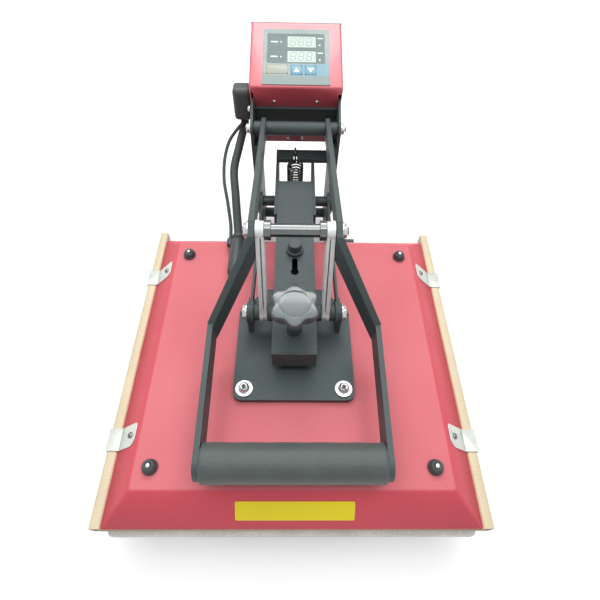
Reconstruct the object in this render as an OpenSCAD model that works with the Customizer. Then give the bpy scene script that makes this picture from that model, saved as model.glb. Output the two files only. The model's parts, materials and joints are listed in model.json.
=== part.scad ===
// Clamshell flat heat press with a square platen, a parallelogram handle linkage,
// a pressure knob, a lift spring and a tilted digital control box.
// Lengths run from the cover's front edge (Y) and from the cover's rim (Z) until placed.

/* [Platen] */
// Side of the square heat cover
cover_w = 400; // [390:2:420]
// Width of the cover's sloped border in plan
cover_inset = 32; // [28:1:36]
// Height of the cover
cover_rise = 34; // [32:1:36]
// Sheet thickness of the cover
cover_t = 1.5; // [1.2:0.1:2]
// Gap in plan between the cover's rim and the heat platen
platen_margin = 10; // [8:1:14]
// Thickness of the heat platen
platen_t = 24; // [20:1:28]
// How far the platen stands below the cover's rim
platen_drop = 17; // [14:1:20]
// Thickness of the protective sheet
sheet_t = 1; // [0.6:0.1:1.5]
// Width of the sheet's rolled side edges
roll_w = 12; // [10:1:14]
// Height of the rolled edges above the cover's rim
roll_rise = 4; // [3:0.5:6]
// Length of each sheet clip along the side
clip_len = 26; // [20:1:32]
// Sheet thickness of the clips
clip_t = 1.2; // [1:0.1:1.6]

/* [Base] */
// Height of the rubber feet
foot_h = 16; // [12:1:20]
// Diameter of the rubber feet
foot_d = 30; // [24:1:32]
// Height of the base rails
rail_h = 40; // [32:1:46]
// Width of the base rails
rail_w = 32; // [30:1:40]
// Distance of each rail's centre from the middle
rail_x = 86; // [80:1:100]
// How far the base rails run behind the cover's rear edge
rail_overhang = 40; // [34:1:46]
// Thickness of the lower platen
bed_t = 12; // [8:1:16]
// Thickness of the silicone pad
pad_t = 10; // [6:1:14]
// Thickness of the uprights
upright_t = 6; // [5:0.5:6]
// Distance from the middle to each upright's inner face
upright_x = 54; // [53:0.5:54]

/* [Linkage] */
// Distance of the press shaft behind the cover's front edge
shaft_y = 223; // [218:1:228]
// Height of the press shaft above the cover's rim
shaft_z = 73; // [71:1:76]
// Diameter of the press shaft and of the cross rod
shaft_d = 14; // [12:0.5:15]
// Level distance from the press shaft back to the cross rod
link_run = 31; // [26:1:36]
// Height of the cross rod above the press shaft
link_rise = 108; // [104:1:112]
// Level distance from the cross rod back to the handle pivot
lever_run = 236; // [232:1:238]
// Drop from the cross rod to the handle pivot
lever_drop = 40; // [37:1:42]
// Diameter of the two pivot bolts
pivot_d = 12; // [10:0.5:12]
// Radial clearance of the turning fits
run_fit = 0.05; // [0.02:0.01:0.08]
// Radial clearance of the link's lower eye
eye_fit = 0.2; // [0.1:0.05:0.3]

/* [Arm] */
// Width of the beam
beam_w = 50; // [48:1:52]
// Height of the beam
beam_h = 30; // [28:1:32]
// Wall of the beam
beam_t = 3; // [2:0.5:4]
// Front end of the beam
beam_front = 159; // [154:1:164]
// Rear end of the beam
beam_back = 441; // [436:1:444]
// Width of the mounting plate
plate_w = 140; // [136:1:150]
// Front edge of the mounting plate
plate_front = 125; // [120:1:128]
// Length of the mounting plate
plate_len = 154; // [150:1:160]
// Thickness of the mounting plate
plate_t = 8; // [7:0.5:9]
// Distance of the pressure knob's axis behind the cover's front edge
knob_y = 190; // [187:1:193]
// Diameter of the pressure knob
knob_d = 52; // [48:1:56]
// Height of the pressure knob's head
knob_h = 22; // [20:1:26]

/* [Handle] */
// Thickness of the handle bars
bar_t = 6; // [5:0.5:6]
// Distance from the middle to each lever's inner face
lever_x = 42; // [41:0.5:44]
// Distance from the middle to each bar's inner face at the grip
grip_x = 90; // [84:1:96]
// Diameter of the grip
grip_d = 40; // [34:1:42]
// Distance of the grip's axis behind the cover's front edge
grip_y = 50; // [44:1:56]
// Height of the grip's axis above the cover's rim
grip_z = 70; // [66:1:76]

/* [Control box] */
// Width of the control box
box_w = 130; // [130:1:136]
// Length of the tilted panel face
box_len = 113; // [110:1:120]
// Depth of the box below the panel face
box_depth = 117; // [112:1:122]
// Tilt of the panel face in degrees
box_tilt = 18; // [16:1:20]
// Sheet thickness of the box
box_t = 1.2; // [1:0.1:1.4]

/* [Leads and spring] */
// Diameter of the heater lead
lead_d = 12.4; // [11:0.2:13]
// Diameter of the sensor lead
sensor_d = 5; // [4:0.2:5.4]
// Diameter of the spring wire
wire_d = 3; // [2.6:0.1:3.4]
// Mean diameter of the spring's coil
coil_d = 24; // [22:0.5:26]
// Number of turns in the spring
coil_turns = 14; // [10:1:15]

/* [Hidden] */
$fn = 48;

// Heights of the stack, from the cover's rim
sheet_top = -platen_drop;
pad_top = sheet_top - sheet_t;
bed_top = pad_top - pad_t;
rail_top = bed_top - bed_t;
rail_bottom = rail_top - rail_h;
rim_height = foot_h - rail_bottom;
half_cover = cover_w / 2;
plate_top = cover_rise + plate_t;

// Pivots of the parallelogram
rod_y = shaft_y + link_run;
rod_z = shaft_z + link_rise;
hinge_y = rod_y + lever_run;
hinge_z = rod_z - lever_drop;
arm_y = shaft_y + lever_run;
arm_z = shaft_z - lever_drop;
shaft_r = shaft_d / 2;
pivot_r = pivot_d / 2;

// Beam levels
beam_top = shaft_z + beam_h / 2;
beam_bottom = shaft_z - beam_h / 2;
tail_t = 4;
hub_r = 8;
hub_half = upright_x - 0.5;

// Control box corner, its lugs and the bed
box_y = hinge_y + 23;
box_z = hinge_z + 47;
cheek_t = 3.6;
cheek_x = upright_x + upright_t;
pad_front = -5;
upright_front = hinge_y - 14;
upright_depth = 80;
upright_back = upright_front + upright_depth;
tie_y = upright_back - 20;
tie_z = rail_bottom + 14;
tie_r = 9;
rail_front = 25;
rail_len = cover_w + rail_overhang - rail_front;
cross_w = 40;
rear_cross_y = rail_front + rail_len - 60;

// Spring ends
bar_y = arm_y + 42;
bar_z = beam_top + 2;
bar_depth = 22;

// Plate bolts and cover posts
bolt_r = 4;
bolt_x = plate_w / 2 - 13;
bolt_front = plate_front + 13;
bolt_back = plate_front + plate_len - 17;
rear_bolt_x = 16;
cap_x = half_cover - 50;
cap_front = 54;
cap_back = cover_w - 57;
cap_r = 8.5;
cap_step = 5;
clip_front = 91;
clip_back = cover_w - 75;

// The origin is the middle of the object's lowest face
box_back_y = box_y + box_len * cos(box_tilt) + box_depth * sin(box_tilt);
back_t = 1.6;
rear_end = box_back_y + back_t * cos(box_tilt);
corner_y = box_y + box_depth * sin(box_tilt);
corner_z = box_z - box_depth * cos(box_tilt);
origin_y = (pad_front + rear_end) / 2;

// Colours
RED = [0.78, 0.22, 0.28];
BLACK = [0.17, 0.19, 0.19];
STEEL = [0.8, 0.81, 0.82];
ZINC = [0.9, 0.9, 0.9];
BEIGE = [0.86, 0.79, 0.64];
GREY = [0.55, 0.58, 0.58];

module place() {
    translate([0, -origin_y, rim_height]) children();
}

// A block from its lowest to its highest corner
module span(a, b) {
    translate(a) cube([b[0] - a[0], b[1] - a[1], b[2] - a[2]]);
}

// A round bar along X
module bar_x(x0, x1, y, z, r) {
    translate([x0, y, z]) rotate([0, 90, 0]) cylinder(h = x1 - x0, r = r);
}

// A plate across X from a Y-Z outline
module plate_x(x0, x1, outline) {
    translate([x0, 0, 0]) rotate([90, 0, 90]) linear_extrude(height = x1 - x0) polygon(outline);
}

module both_sides() {
    children();
    mirror([1, 0, 0]) children();
}

// Places the control box's own axes: Y up the panel face, Z out of it
module on_box() {
    translate([0, box_y, box_z]) rotate([box_tilt, 0, 0]) children();
}

function unit(v) = v / norm(v);
function tangents(p) = [for (i = [0 : len(p) - 1]) unit(p[min(i + 1, len(p) - 1)] - p[max(i - 1, 0)])];
function square_to(n, t) = unit(n - (n * t) * t);
function normals(t, n0) = [for (i = 0, n = square_to(n0, t[0]); i < len(t);
    i = i + 1, n = i < len(t) ? square_to(n, t[i]) : n) n];
function ring(c, t, n, r, sides) = [for (j = [0 : sides - 1])
    c + r * (cos(j * 360 / sides) * n + sin(j * 360 / sides) * cross(t, n))];
function curve_point(a, b, c, d, u) = 0.5 * (2 * b + (c - a) * u + (2 * a - 5 * b + 4 * c - d) * u * u
    + (3 * b - a - 3 * c + d) * u * u * u);
function smooth_path(p, steps) = concat([for (i = [0 : len(p) - 2]) for (k = [0 : steps - 1])
    curve_point(p[max(i - 1, 0)], p[i], p[i + 1], p[min(i + 2, len(p) - 1)], k / steps)], [p[len(p) - 1]]);

// One closed tube along a path
module tube(path, r, sides, n0) {
    t = tangents(path);
    n = normals(t, n0);
    last = (len(path) - 1) * sides;
    points = [for (i = [0 : len(path) - 1]) each ring(path[i], t[i], n[i], r, sides)];
    walls = [for (i = [0 : len(path) - 2]) for (j = [0 : sides - 1]) each
        let (a = i * sides + j, b = i * sides + (j + 1) % sides)
        [[a, a + sides, b + sides], [a, b + sides, b]]];
    front = [[for (j = [0 : sides - 1]) j]];
    back = [[for (j = [sides - 1 : -1 : 0]) last + j]];
    polyhedron(points = points, faces = concat(front, walls, back), convexity = 8);
}

module base_rail(side) {
    color(BLACK) difference() {
        span([side * rail_x - rail_w / 2, rail_front, rail_bottom],
            [side * rail_x + rail_w / 2, rail_front + rail_len, rail_top]);
        span([side * rail_x - rail_w / 2 + 2, rail_front - 1, rail_bottom + 2],
            [side * rail_x + rail_w / 2 - 2, rail_front + rail_len + 1, rail_top - 2]);
    }
}

module base_rail_left() {
    place() base_rail(-1);
}

module base_rail_right() {
    place() base_rail(1);
}

module base_cross(y0) {
    color(BLACK) span([-rail_x + rail_w / 2, y0, rail_bottom], [rail_x - rail_w / 2, y0 + cross_w, rail_top]);
}

module base_cross_front() {
    place() base_cross(rail_front + 35);
}

module base_cross_rear() {
    place() base_cross(rear_cross_y);
}

// Domed plugs that close the rails at both ends
module rail_plug(y, out) {
    translate([0, y, 0]) mirror([0, out < 0 ? 1 : 0, 0]) {
        span([-rail_w / 2 + 2, -10, rail_bottom + 2], [rail_w / 2 - 2, 0, rail_top - 2]);
        intersection() {
            span([-rail_w / 2, 0, rail_bottom], [rail_w / 2, 12, rail_top]);
            translate([0, -28, rail_bottom]) cylinder(h = rail_h, r = 38);
            translate([-rail_w, -30, (rail_top + rail_bottom) / 2]) rotate([0, 90, 0])
                cylinder(h = 2 * rail_w, r = 41);
        }
    }
}

module rail_caps() {
    place() color(BLACK) both_sides() translate([rail_x, 0, 0]) {
        rail_plug(rail_front, -1);
        rail_plug(rail_front + rail_len, 1);
    }
}

module rubber_feet() {
    place() color([0.12, 0.12, 0.12]) both_sides() for (y = [rail_front + 25, rail_front + rail_len - 22])
        translate([rail_x, y, -rim_height]) {
            cylinder(h = foot_h, d = foot_d);
        }
}

module lower_platen() {
    place() color(GREY) span([-half_cover, 0, rail_top], [half_cover, cover_w - 2, bed_top]);
}

module silicone_pad() {
    place() color([0.9, 0.89, 0.87]) span([-half_cover, pad_front, bed_top],
        [half_cover, cover_w + pad_front, pad_top]);
}

// Standing plate with a foot behind the rear cross bar and a lug for the arm pivot
module upright() {
    foot_front = rear_cross_y + cross_w;
    lug_r = 15;
    difference() {
        union() {
            plate_x(upright_x, upright_x + upright_t, [[foot_front, rail_bottom], [upright_back, rail_bottom],
                [upright_back, corner_z - 20], [corner_y - 9, corner_z - 6], [box_y + 14, hinge_z - 22],
                [upright_front, hinge_z - 22], [upright_front, arm_z + lug_r],
                [arm_y, arm_z + lug_r], [arm_y - lug_r, arm_z - 4], [upright_front, rail_top + 24],
                [foot_front + 14, rail_top], [foot_front, rail_top]]);
            bar_x(upright_x, upright_x + upright_t, arm_y, arm_z, lug_r);
        }
        bar_x(upright_x - 1, upright_x + upright_t + 1, arm_y, arm_z, pivot_r);
        bar_x(upright_x - 1, upright_x + upright_t + 1, tie_y, tie_z, pivot_r - 2);
    }
}

module left_upright() {
    place() color(BLACK) mirror([1, 0, 0]) upright();
}

module right_upright() {
    place() color(BLACK) upright();
}

module rear_tie() {
    tie_head = 4;
    place() color(BLACK) {
        bar_x(-upright_x, upright_x, tie_y, tie_z, tie_r);
        bar_x(-upright_x - upright_t, upright_x + upright_t, tie_y, tie_z, pivot_r - 2);
        both_sides() bar_x(upright_x + upright_t, upright_x + upright_t + tie_head, tie_y, tie_z, pivot_r + 1);
    }
}

// Side lug that carries the handle pivot and reaches into the control box
module cheek() {
    eye_r = 15;
    heel = [upright_front + 2, upright_back - 14];
    low = hinge_z - 70;
    difference() {
        union() {
            plate_x(cheek_x, cheek_x + cheek_t, [[hinge_y - eye_r, hinge_z - 4], [heel[0], low],
                [heel[1], low], [heel[1], hinge_z + 6], [box_y + 34, hinge_z + 20],
                [box_y + 14, hinge_z + 30], [hinge_y - 4, hinge_z + eye_r - 1]]);
            bar_x(cheek_x, cheek_x + cheek_t, hinge_y, hinge_z, eye_r);
        }
        bar_x(cheek_x - 1, cheek_x + cheek_t + 1, hinge_y, hinge_z, pivot_r);
    }
}

module left_cheek() {
    place() color(BLACK) mirror([1, 0, 0]) cheek();
}

module right_cheek() {
    place() color(BLACK) cheek();
}

// Cross plate between the lugs, against the front of the box
module bracket_plate() {
    place() color(BLACK) on_box() span([-cheek_x, -4, -64], [cheek_x, 0, -36]);
}

module handle_pivot_bolt() {
    place() color(STEEL) {
        bar_x(-cheek_x - cheek_t, cheek_x + cheek_t, hinge_y, hinge_z, pivot_r);
        both_sides() bar_x(cheek_x + cheek_t, cheek_x + cheek_t + 8, hinge_y, hinge_z, pivot_r + 2);
    }
}

module arm_pivot_bolt() {
    place() color(STEEL) {
        bar_x(-upright_x - upright_t, upright_x + upright_t, arm_y, arm_z, pivot_r);
        both_sides() bar_x(upright_x + upright_t, upright_x + upright_t + 8, arm_y, arm_z, pivot_r + 2);
    }
}

// Panel layout on the tilted face
overlay_w = 93;
overlay_front = 3.5;
overlay_len = 97;
overlay_t = 1.2;
key_gap = 0.25;
set_key = [-26.5, 29, 30, 15];
up_key = [0.5, 28, 15, 15];
down_key = [20, 28, 15, 15];
key_top = overlay_t + 0.4;
key_t = 2.2;
display_x = 7.5;
display_w = 40;
display_rows = [42, 68];
display_len = 20;

// A block on the panel, given as middle X, middle Y, width and length
module panel_block(k, grow, z0, z1) {
    half = [k[2] / 2 + grow, k[3] / 2 + grow];
    span([k[0] - half[0], k[1] - half[1], z0], [k[0] + half[0], k[1] + half[1], z1]);
}

module key_holes() {
    for (k = [set_key, up_key, down_key]) panel_block(k, key_gap, -5, 5);
}

// Rear fittings, on the back plate
rocker_x = -30;
rocker_z = -55;
rocker_w = 13;
rocker_len = 20;
inlet_x = 22;
inlet_z = -55;
inlet_w = 28;
inlet_h = 20;

module control_box() {
    place() color(RED) on_box() difference() {
        span([-box_w / 2, 0, -box_depth], [box_w / 2, box_len, 0]);
        span([-box_w / 2 + box_t, box_t, -box_depth + box_t], [box_w / 2 - box_t, box_len + 1, -box_t]);
        key_holes();
        both_sides() span([cheek_x - 0.3, -1, -box_depth + 4], [box_w / 2 - box_t, box_t + 1, -12]);
    }
}

module box_back() {
    place() color(BLACK) on_box() difference() {
        span([-box_w / 2, box_len, -box_depth], [box_w / 2, box_len + back_t, 0]);
        span([rocker_x - rocker_w / 2, box_len - 1, rocker_z - rocker_len / 2],
            [rocker_x + rocker_w / 2, box_len + back_t + 1, rocker_z + rocker_len / 2]);
        span([inlet_x - inlet_w / 2, box_len - 1, inlet_z - inlet_h / 2],
            [inlet_x + inlet_w / 2, box_len + back_t + 1, inlet_z + inlet_h / 2]);
    }
}

module control_panel() {
    place() color([0.42, 0.5, 0.52]) on_box() difference() {
        span([-overlay_w / 2, overlay_front, 0], [overlay_w / 2, overlay_front + overlay_len, overlay_t]);
        key_holes();
        for (y = display_rows) span([display_x - display_w / 2, y, -1],
            [display_x + display_w / 2, y + display_len, overlay_t + 1]);
    }
}

module displays() {
    place() color([0.85, 0.88, 0.82]) on_box() for (y = display_rows)
        span([display_x - display_w / 2, y, 0], [display_x + display_w / 2, y + display_len, overlay_t - 0.3]);
}

module power_inlet() {
    wall = 3;
    depth = 16;
    flange = 3;
    place() color([0.1, 0.1, 0.1]) on_box() {
        difference() {
            union() {
                span([inlet_x - inlet_w / 2, box_len - depth, inlet_z - inlet_h / 2],
                    [inlet_x + inlet_w / 2, box_len + back_t, inlet_z + inlet_h / 2]);
                span([inlet_x - inlet_w / 2 - flange, box_len + back_t, inlet_z - inlet_h / 2 - flange],
                    [inlet_x + inlet_w / 2 + flange, box_len + back_t + 2, inlet_z + inlet_h / 2 + flange]);
            }
            span([inlet_x - inlet_w / 2 + wall, box_len - depth + wall, inlet_z - inlet_h / 2 + wall],
                [inlet_x + inlet_w / 2 - wall, box_len + back_t + 3, inlet_z + inlet_h / 2 - wall]);
        }
    }
}

// Rocker tipped to its off side, turning on a round back
rocker_tip = 8;
rocker_r = 4;

module power_rocker() {
    half = rocker_len / 2 - 1.6;
    place() color([0.75, 0.1, 0.1]) on_box() translate([rocker_x - rocker_w / 2 + 0.3, box_len - 3, rocker_z])
        rotate([rocker_tip, 0, 0]) rotate([90, 0, 90]) linear_extrude(height = rocker_w - 0.6) union() {
            polygon([[0, -rocker_r], [3, -half], [6.4, -half], [5.2, 0], [6.4, half], [3, half], [0, rocker_r]]);
            circle(r = rocker_r);
        }
}

module key_cap(k) {
    color([0.62, 0.66, 0.66]) on_box() panel_block(k, 0, key_top - key_t, key_top);
}

module key_set() {
    place() key_cap(set_key);
}

module key_up() {
    place() key_cap(up_key);
}

module key_down() {
    place() key_cap(down_key);
}

// Cable housing on the left of the box, and the leads from it to the cover
housing_w = 26;
housing_len = 26;
housing_h = 48;
housing_y = box_y + 28;
housing_z = box_z - 38;
housing_r = 7;
// Face that the housing sits on: the side of the box, or the lug where that stands further out
housing_x = max(box_w / 2, cheek_x + cheek_t);
lead_x = -housing_x - housing_w / 2;
boot_x = -82;
boot_r = 10;
boot_front = 296;
boot_back = 366;
boot_z = cover_rise + boot_r;
lead_gap = 0.1;
lead_out = 8;
lead_start = [lead_x, housing_y + 4, housing_z - housing_h / 2 - lead_gap];
lead_end = [boot_x, boot_back + lead_gap, boot_z];
lead_points = [lead_start - [0, 0, lead_out], lead_start + [-2, 0, -18], [-86, 505, 98], [-92, 470, 84],
    [-88, 430, 70], lead_end + [-2, 26, 7], lead_end + [0, lead_out, 0]];
sensor_start = lead_start + [-2, -11, 0];
sensor_end = lead_end + [-11, 0, 0];
sensor_points = [sensor_start - [0, 0, lead_out - 2], sensor_start + [-8, -3, -13], [-101, 514, 102],
    [-107, 486, 90], [-106, 452, 78], [-99, 418, 66], sensor_end + [-1, 24, 7],
    sensor_end + [0, lead_out, 0]];
function lead_path(a, points, b) = concat([a], smooth_path(points, 3), [b]);

module cable_housing() {
    i_half = housing_len / 2 - housing_r;
    j_half = housing_h / 2 - housing_r;
    place() color([0.13, 0.14, 0.14]) translate([-housing_x - housing_w, housing_y, housing_z])
        rotate([90, 0, 90]) linear_extrude(height = housing_w) union() {
            square([housing_len, housing_h - 2 * housing_r], center = true);
            square([housing_len - 2 * housing_r, housing_h], center = true);
            for (i = [-1, 1]) for (j = [-1, 1])
                translate([i * i_half, j * j_half]) circle(r = housing_r);
        }
}

module heater_lead() {
    place() color([0.15, 0.16, 0.16])
        tube(lead_path(lead_start, lead_points, lead_end), lead_d / 2, 10, [1, 0, 0]);
}

module sensor_lead() {
    place() color([0.2, 0.21, 0.21])
        tube(lead_path(sensor_start, sensor_points, sensor_end), sensor_d / 2, 8, [1, 0, 0]);
}

// Spring from a hook over the tail crossbar to a hook round the rear tie
function mid(a, b, u) = a + (b - a) * u;
function ease(u) = u * u * (3 - 2 * u);
wire_r = wire_d / 2;
spring_top = [0, bar_y, bar_z];
spring_low = [0, tie_y, tie_z];
spring_dir = unit(spring_low - spring_top);
spring_side = cross([1, 0, 0], spring_dir);
coil_start = spring_top + 20 * spring_dir;
coil_end = spring_low - 28 * spring_dir;
coil_rings = 8 * coil_turns;
lead_in = 7;
function coil_r(i) = coil_d / 2 * ease(min(1, i / lead_in, (coil_rings - i) / lead_in));
coil_path = [for (i = [0 : coil_rings]) mid(coil_start, coil_end, i / coil_rings)
    + coil_r(i) * (cos(45 * i) * [1, 0, 0] + sin(45 * i) * spring_side)];
hook_z = bar_z + wire_r + 0.6;
hook_back = bar_y + bar_depth / 2 + wire_r + 1.6;
hook_path = [[0, hook_back, bar_z - 8], [0, hook_back, bar_z - 4], [0, hook_back - 1, bar_z + 0.5],
    [0, hook_back - 4, hook_z], [0, bar_y + 5, hook_z], spring_top + [0, 1, 0.5], spring_top + 5 * spring_dir,
    spring_top + 12 * spring_dir];
loop_r = tie_r + wire_r + 0.6;
loop_path = [spring_low - 22 * spring_dir, each [for (a = [150 : 25 : 350])
    spring_low + loop_r * [0, cos(a), sin(a)]]];
spring_path = concat(hook_path, coil_path, loop_path);
spring_gap = min([for (i = [0 : len(spring_path) - 8]) for (j = [i + 7 : len(spring_path) - 1])
    norm(spring_path[i] - spring_path[j])]) - wire_d;
echo(spring_gap = spring_gap);

module lift_spring() {
    place() color([0.3, 0.31, 0.31]) tube(spring_path, wire_r, 6, [1, 0, 0]);
}

// Arm
knob_base = beam_top + 32;
screw_r = 6;
cap_t = 3;
slot_front = 273;
slot_back = 292;
hole_y = 350;
boss_y = 307;

module beam() {
    place() color(BLACK) difference() {
        span([-beam_w / 2, beam_front + cap_t, beam_bottom], [beam_w / 2, beam_back, beam_top]);
        span([-beam_w / 2 + beam_t, beam_front, beam_bottom + beam_t],
            [beam_w / 2 - beam_t, beam_back + 1, beam_top - beam_t]);
        bar_x(-beam_w, beam_w, shaft_y, shaft_z, shaft_r);
        translate([0, knob_y, beam_bottom - 1]) cylinder(h = beam_h + 2, r = screw_r + 0.15);
        translate([0, slot_front, shaft_z]) cylinder(h = beam_h, r = 5);
        translate([0, slot_back, shaft_z]) cylinder(h = beam_h, r = 3.4);
        span([-3.4, slot_front, shaft_z], [3.4, slot_back, beam_top + 1]);
        translate([0, hole_y, shaft_z]) cylinder(h = beam_h, r = 4.5);
    }
}

module beam_cap() {
    place() color([0.1, 0.1, 0.1]) {
        span([-beam_w / 2, beam_front, beam_bottom], [beam_w / 2, beam_front + cap_t, beam_top]);
        span([-beam_w / 2 + beam_t, beam_front + cap_t, beam_bottom + beam_t],
            [beam_w / 2 - beam_t, beam_front + cap_t + 10, beam_top - beam_t]);
    }
}

module tail_plate() {
    x0 = beam_w / 2;
    lug_r = 16;
    seat = bar_z - 8;
    difference() {
        union() {
            plate_x(x0, x0 + tail_t, [[beam_back - 66, beam_bottom + 6], [beam_back - 66, beam_top - 2],
                [bar_y - 17, beam_top - 2], [bar_y - 13, seat], [bar_y + 13, seat], [bar_y + 13, seat - 12],
                [arm_y + 15, arm_z - 2], [arm_y - 15, arm_z - 2], [arm_y - 34, beam_bottom - 2]]);
            bar_x(x0, x0 + tail_t, arm_y, arm_z, lug_r);
        }
        bar_x(x0 - 1, x0 + tail_t + 1, arm_y, arm_z, hub_r);
    }
}

module left_tail_plate() {
    place() color(BLACK) mirror([1, 0, 0]) tail_plate();
}

module right_tail_plate() {
    place() color(BLACK) tail_plate();
}

// Spring bar across the tail, with a notch for the hook and a longer right end
module tail_crossbar() {
    place() color(BLACK) difference() {
        span([-beam_w / 2 - tail_t, bar_y - bar_depth / 2, bar_z - 8],
            [upright_x - 4, bar_y + bar_depth / 2, bar_z]);
        span([-wire_r - 1, bar_y - bar_depth, bar_z - 9], [wire_r + 1, bar_y + 4.5, bar_z + 1]);
    }
}

module arm_hub() {
    place() color(BLACK) difference() {
        bar_x(-hub_half, hub_half, arm_y, arm_z, hub_r);
        bar_x(-hub_half - 1, hub_half + 1, arm_y, arm_z, pivot_r + run_fit);
    }
}

module stop_boss() {
    place() color([0.1, 0.1, 0.1]) translate([0, boss_y, beam_top]) {
        cylinder(h = 4, r = 11);
        cylinder(h = 15, r = 8.5);
    }
}

module bolt_places() {
    both_sides() {
        translate([bolt_x, bolt_front, 0]) children();
        translate([rear_bolt_x, bolt_back, 0]) children();
    }
}

module cap_places() {
    both_sides() for (y = [cap_front, cap_back]) translate([cap_x, y, 0]) children();
}

module mounting_plate() {
    r = 10;
    half = plate_w / 2;
    plate_back = plate_front + plate_len;
    left = [for (a = [180 : 15 : 270]) [r - half + r * cos(a), plate_front + r + r * sin(a)]];
    right = [for (a = [270 : 15 : 360]) [half - r + r * cos(a), plate_front + r + r * sin(a)]];
    rear = [[half, plate_back - 36], [half - 32, plate_back],
        [32 - half, plate_back], [-half, plate_back - 36]];
    place() color(BLACK) difference() {
        translate([0, 0, cover_rise]) linear_extrude(height = plate_t) polygon(concat(left, right, rear));
        bolt_places() cylinder(h = plate_top + 1, r = bolt_r + 0.1);
    }
}

// Clevis ears on the mounting plate, each with a side strap back to the arm hub
ear_x = 50.5;
ear_t = 6;
ear_front = shaft_y - 10;
ear_back = shaft_y + 34;
strap_t = hub_half - ear_x;
strap_up = 8 * unit([arm_z - shaft_z, shaft_y - arm_y]);

module ear() {
    shaft_eye = [shaft_y, shaft_z];
    hub_eye = [arm_y, arm_z];
    difference() {
        union() {
            plate_x(ear_x, ear_x + ear_t, [[ear_front, plate_top], [ear_back, plate_top],
                [ear_back - 8, shaft_z - 6], [ear_front, shaft_z]]);
            plate_x(ear_x, ear_x + strap_t, [shaft_eye + strap_up, shaft_eye - strap_up,
                hub_eye - strap_up, hub_eye + strap_up]);
            bar_x(ear_x, ear_x + ear_t, shaft_y, shaft_z, 12);
            bar_x(ear_x, ear_x + strap_t, arm_y, arm_z, 14);
        }
        bar_x(ear_x - 1, ear_x + ear_t + 1, shaft_y, shaft_z, shaft_r);
        bar_x(ear_x - 1, ear_x + strap_t + 1, arm_y, arm_z, hub_r);
    }
}

module left_ear() {
    place() color(BLACK) mirror([1, 0, 0]) ear();
}

module right_ear() {
    place() color(BLACK) ear();
}

module press_shaft() {
    place() color(STEEL) {
        bar_x(-ear_x - ear_t, ear_x + ear_t, shaft_y, shaft_z, shaft_r);
        both_sides() bar_x(ear_x + ear_t, ear_x + ear_t + 7.5, shaft_y, shaft_z, shaft_r + 3);
    }
}

// Links and what spaces them on the shaft
inner_link_x = lever_x - 9.6;
inner_link_t = 3;
outer_link_x = lever_x - 5.2;
outer_link_t = 4.4;

module shaft_ring(x0, x1, r) {
    difference() {
        bar_x(x0, x1, shaft_y, shaft_z, r);
        bar_x(x0 - 1, x1 + 1, shaft_y, shaft_z, shaft_r);
    }
}

module shaft_spacers() {
    place() color(BLACK) both_sides() {
        shaft_ring(beam_w / 2, inner_link_x - 0.3, shaft_r + 4);
        shaft_ring(ear_x - 2.3, ear_x, shaft_r + 6);
    }
}

module link_blank(x0, x1, r) {
    w = 0.92 * r * norm([link_run, link_rise]) / link_rise;
    bar_x(x0, x1, shaft_y, shaft_z, r);
    bar_x(x0, x1, rod_y, rod_z, r);
    plate_x(x0, x1, [[shaft_y - w, shaft_z], [shaft_y + w, shaft_z], [rod_y + w, rod_z], [rod_y - w, rod_z]]);
}

module link_pair() {
    x1 = outer_link_x + outer_link_t;
    color(ZINC) difference() {
        union() {
            link_blank(inner_link_x, inner_link_x + inner_link_t, 9.5);
            link_blank(outer_link_x, x1, 10.5);
            bar_x(inner_link_x, x1, shaft_y, shaft_z, 9.5);
            bar_x(inner_link_x, x1, rod_y, rod_z, 9.5);
        }
        bar_x(inner_link_x - 1, x1 + 1, shaft_y, shaft_z, shaft_r + eye_fit);
        bar_x(inner_link_x - 1, x1 + 1, rod_y, rod_z, shaft_r + run_fit);
    }
}

module left_links() {
    place() mirror([1, 0, 0]) link_pair();
}

module right_links() {
    place() link_pair();
}

module plate_bolts() {
    place() color(STEEL) bolt_places() {
        translate([0, 0, platen_t - platen_drop + 2])
            cylinder(h = plate_top - platen_t + platen_drop - 2, r = bolt_r);
        translate([0, 0, plate_top]) cylinder(h = 2, r = 10);
        translate([0, 0, plate_top + 2]) cylinder(h = 6, r = 6.5);
    }
}

// Sloped pan, as where two extruded outlines cross
lip = 2;

module pan(cut) {
    half = half_cover - cut;
    inset = cover_inset;
    top = cover_rise - cut;
    side = [[-half, -cut], [half, -cut], [half, lip], [half - inset, top], [inset - half, top], [-half, lip]];
    intersection() {
        translate([0, cover_w, 0]) rotate([90, 0, 0]) linear_extrude(height = cover_w) polygon(side);
        translate([0, half_cover, 0]) plate_x(-half_cover, half_cover, side);
    }
}

module heat_cover() {
    place() color(RED) difference() {
        pan(0);
        pan(cover_t);
        bolt_places() cylinder(h = plate_top, r = bolt_r + 0.1);
        cap_places() cylinder(h = plate_top, r = 3.1);
    }
}

module heat_platen() {
    place() color([0.7, 0.71, 0.72]) span([platen_margin - half_cover, platen_margin, -platen_drop],
        [half_cover - platen_margin, cover_w - platen_margin, platen_t - platen_drop]);
}

module standoffs() {
    z0 = platen_t - platen_drop;
    h = cover_rise - cover_t - z0;
    place() color(STEEL) {
        bolt_places() translate([0, 0, z0]) difference() {
            cylinder(h = h, r = 9);
            translate([0, 0, 1]) cylinder(h = h, r = bolt_r + 0.05);
        }
        cap_places() translate([0, 0, z0]) {
            cylinder(h = h, r = 6);
            cylinder(h = h + cover_t, r = 3);
        }
    }
}

module cover_caps() {
    place() color([0.1, 0.1, 0.1]) cap_places() translate([0, 0, cover_rise]) {
        cylinder(h = cap_step, r = cap_r);
        translate([0, 0, cap_step]) cylinder(h = cap_step - 1, r1 = cap_r, r2 = cap_r - 3);
        translate([0, 0, 2 * cap_step - 1]) cylinder(h = 2, r = cap_r / 3);
    }
}

// Sheet-metal clips from the cover's slope over the rolled edge
roll_in = half_cover + 0.4;
roll_out = roll_in + roll_w;

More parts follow.
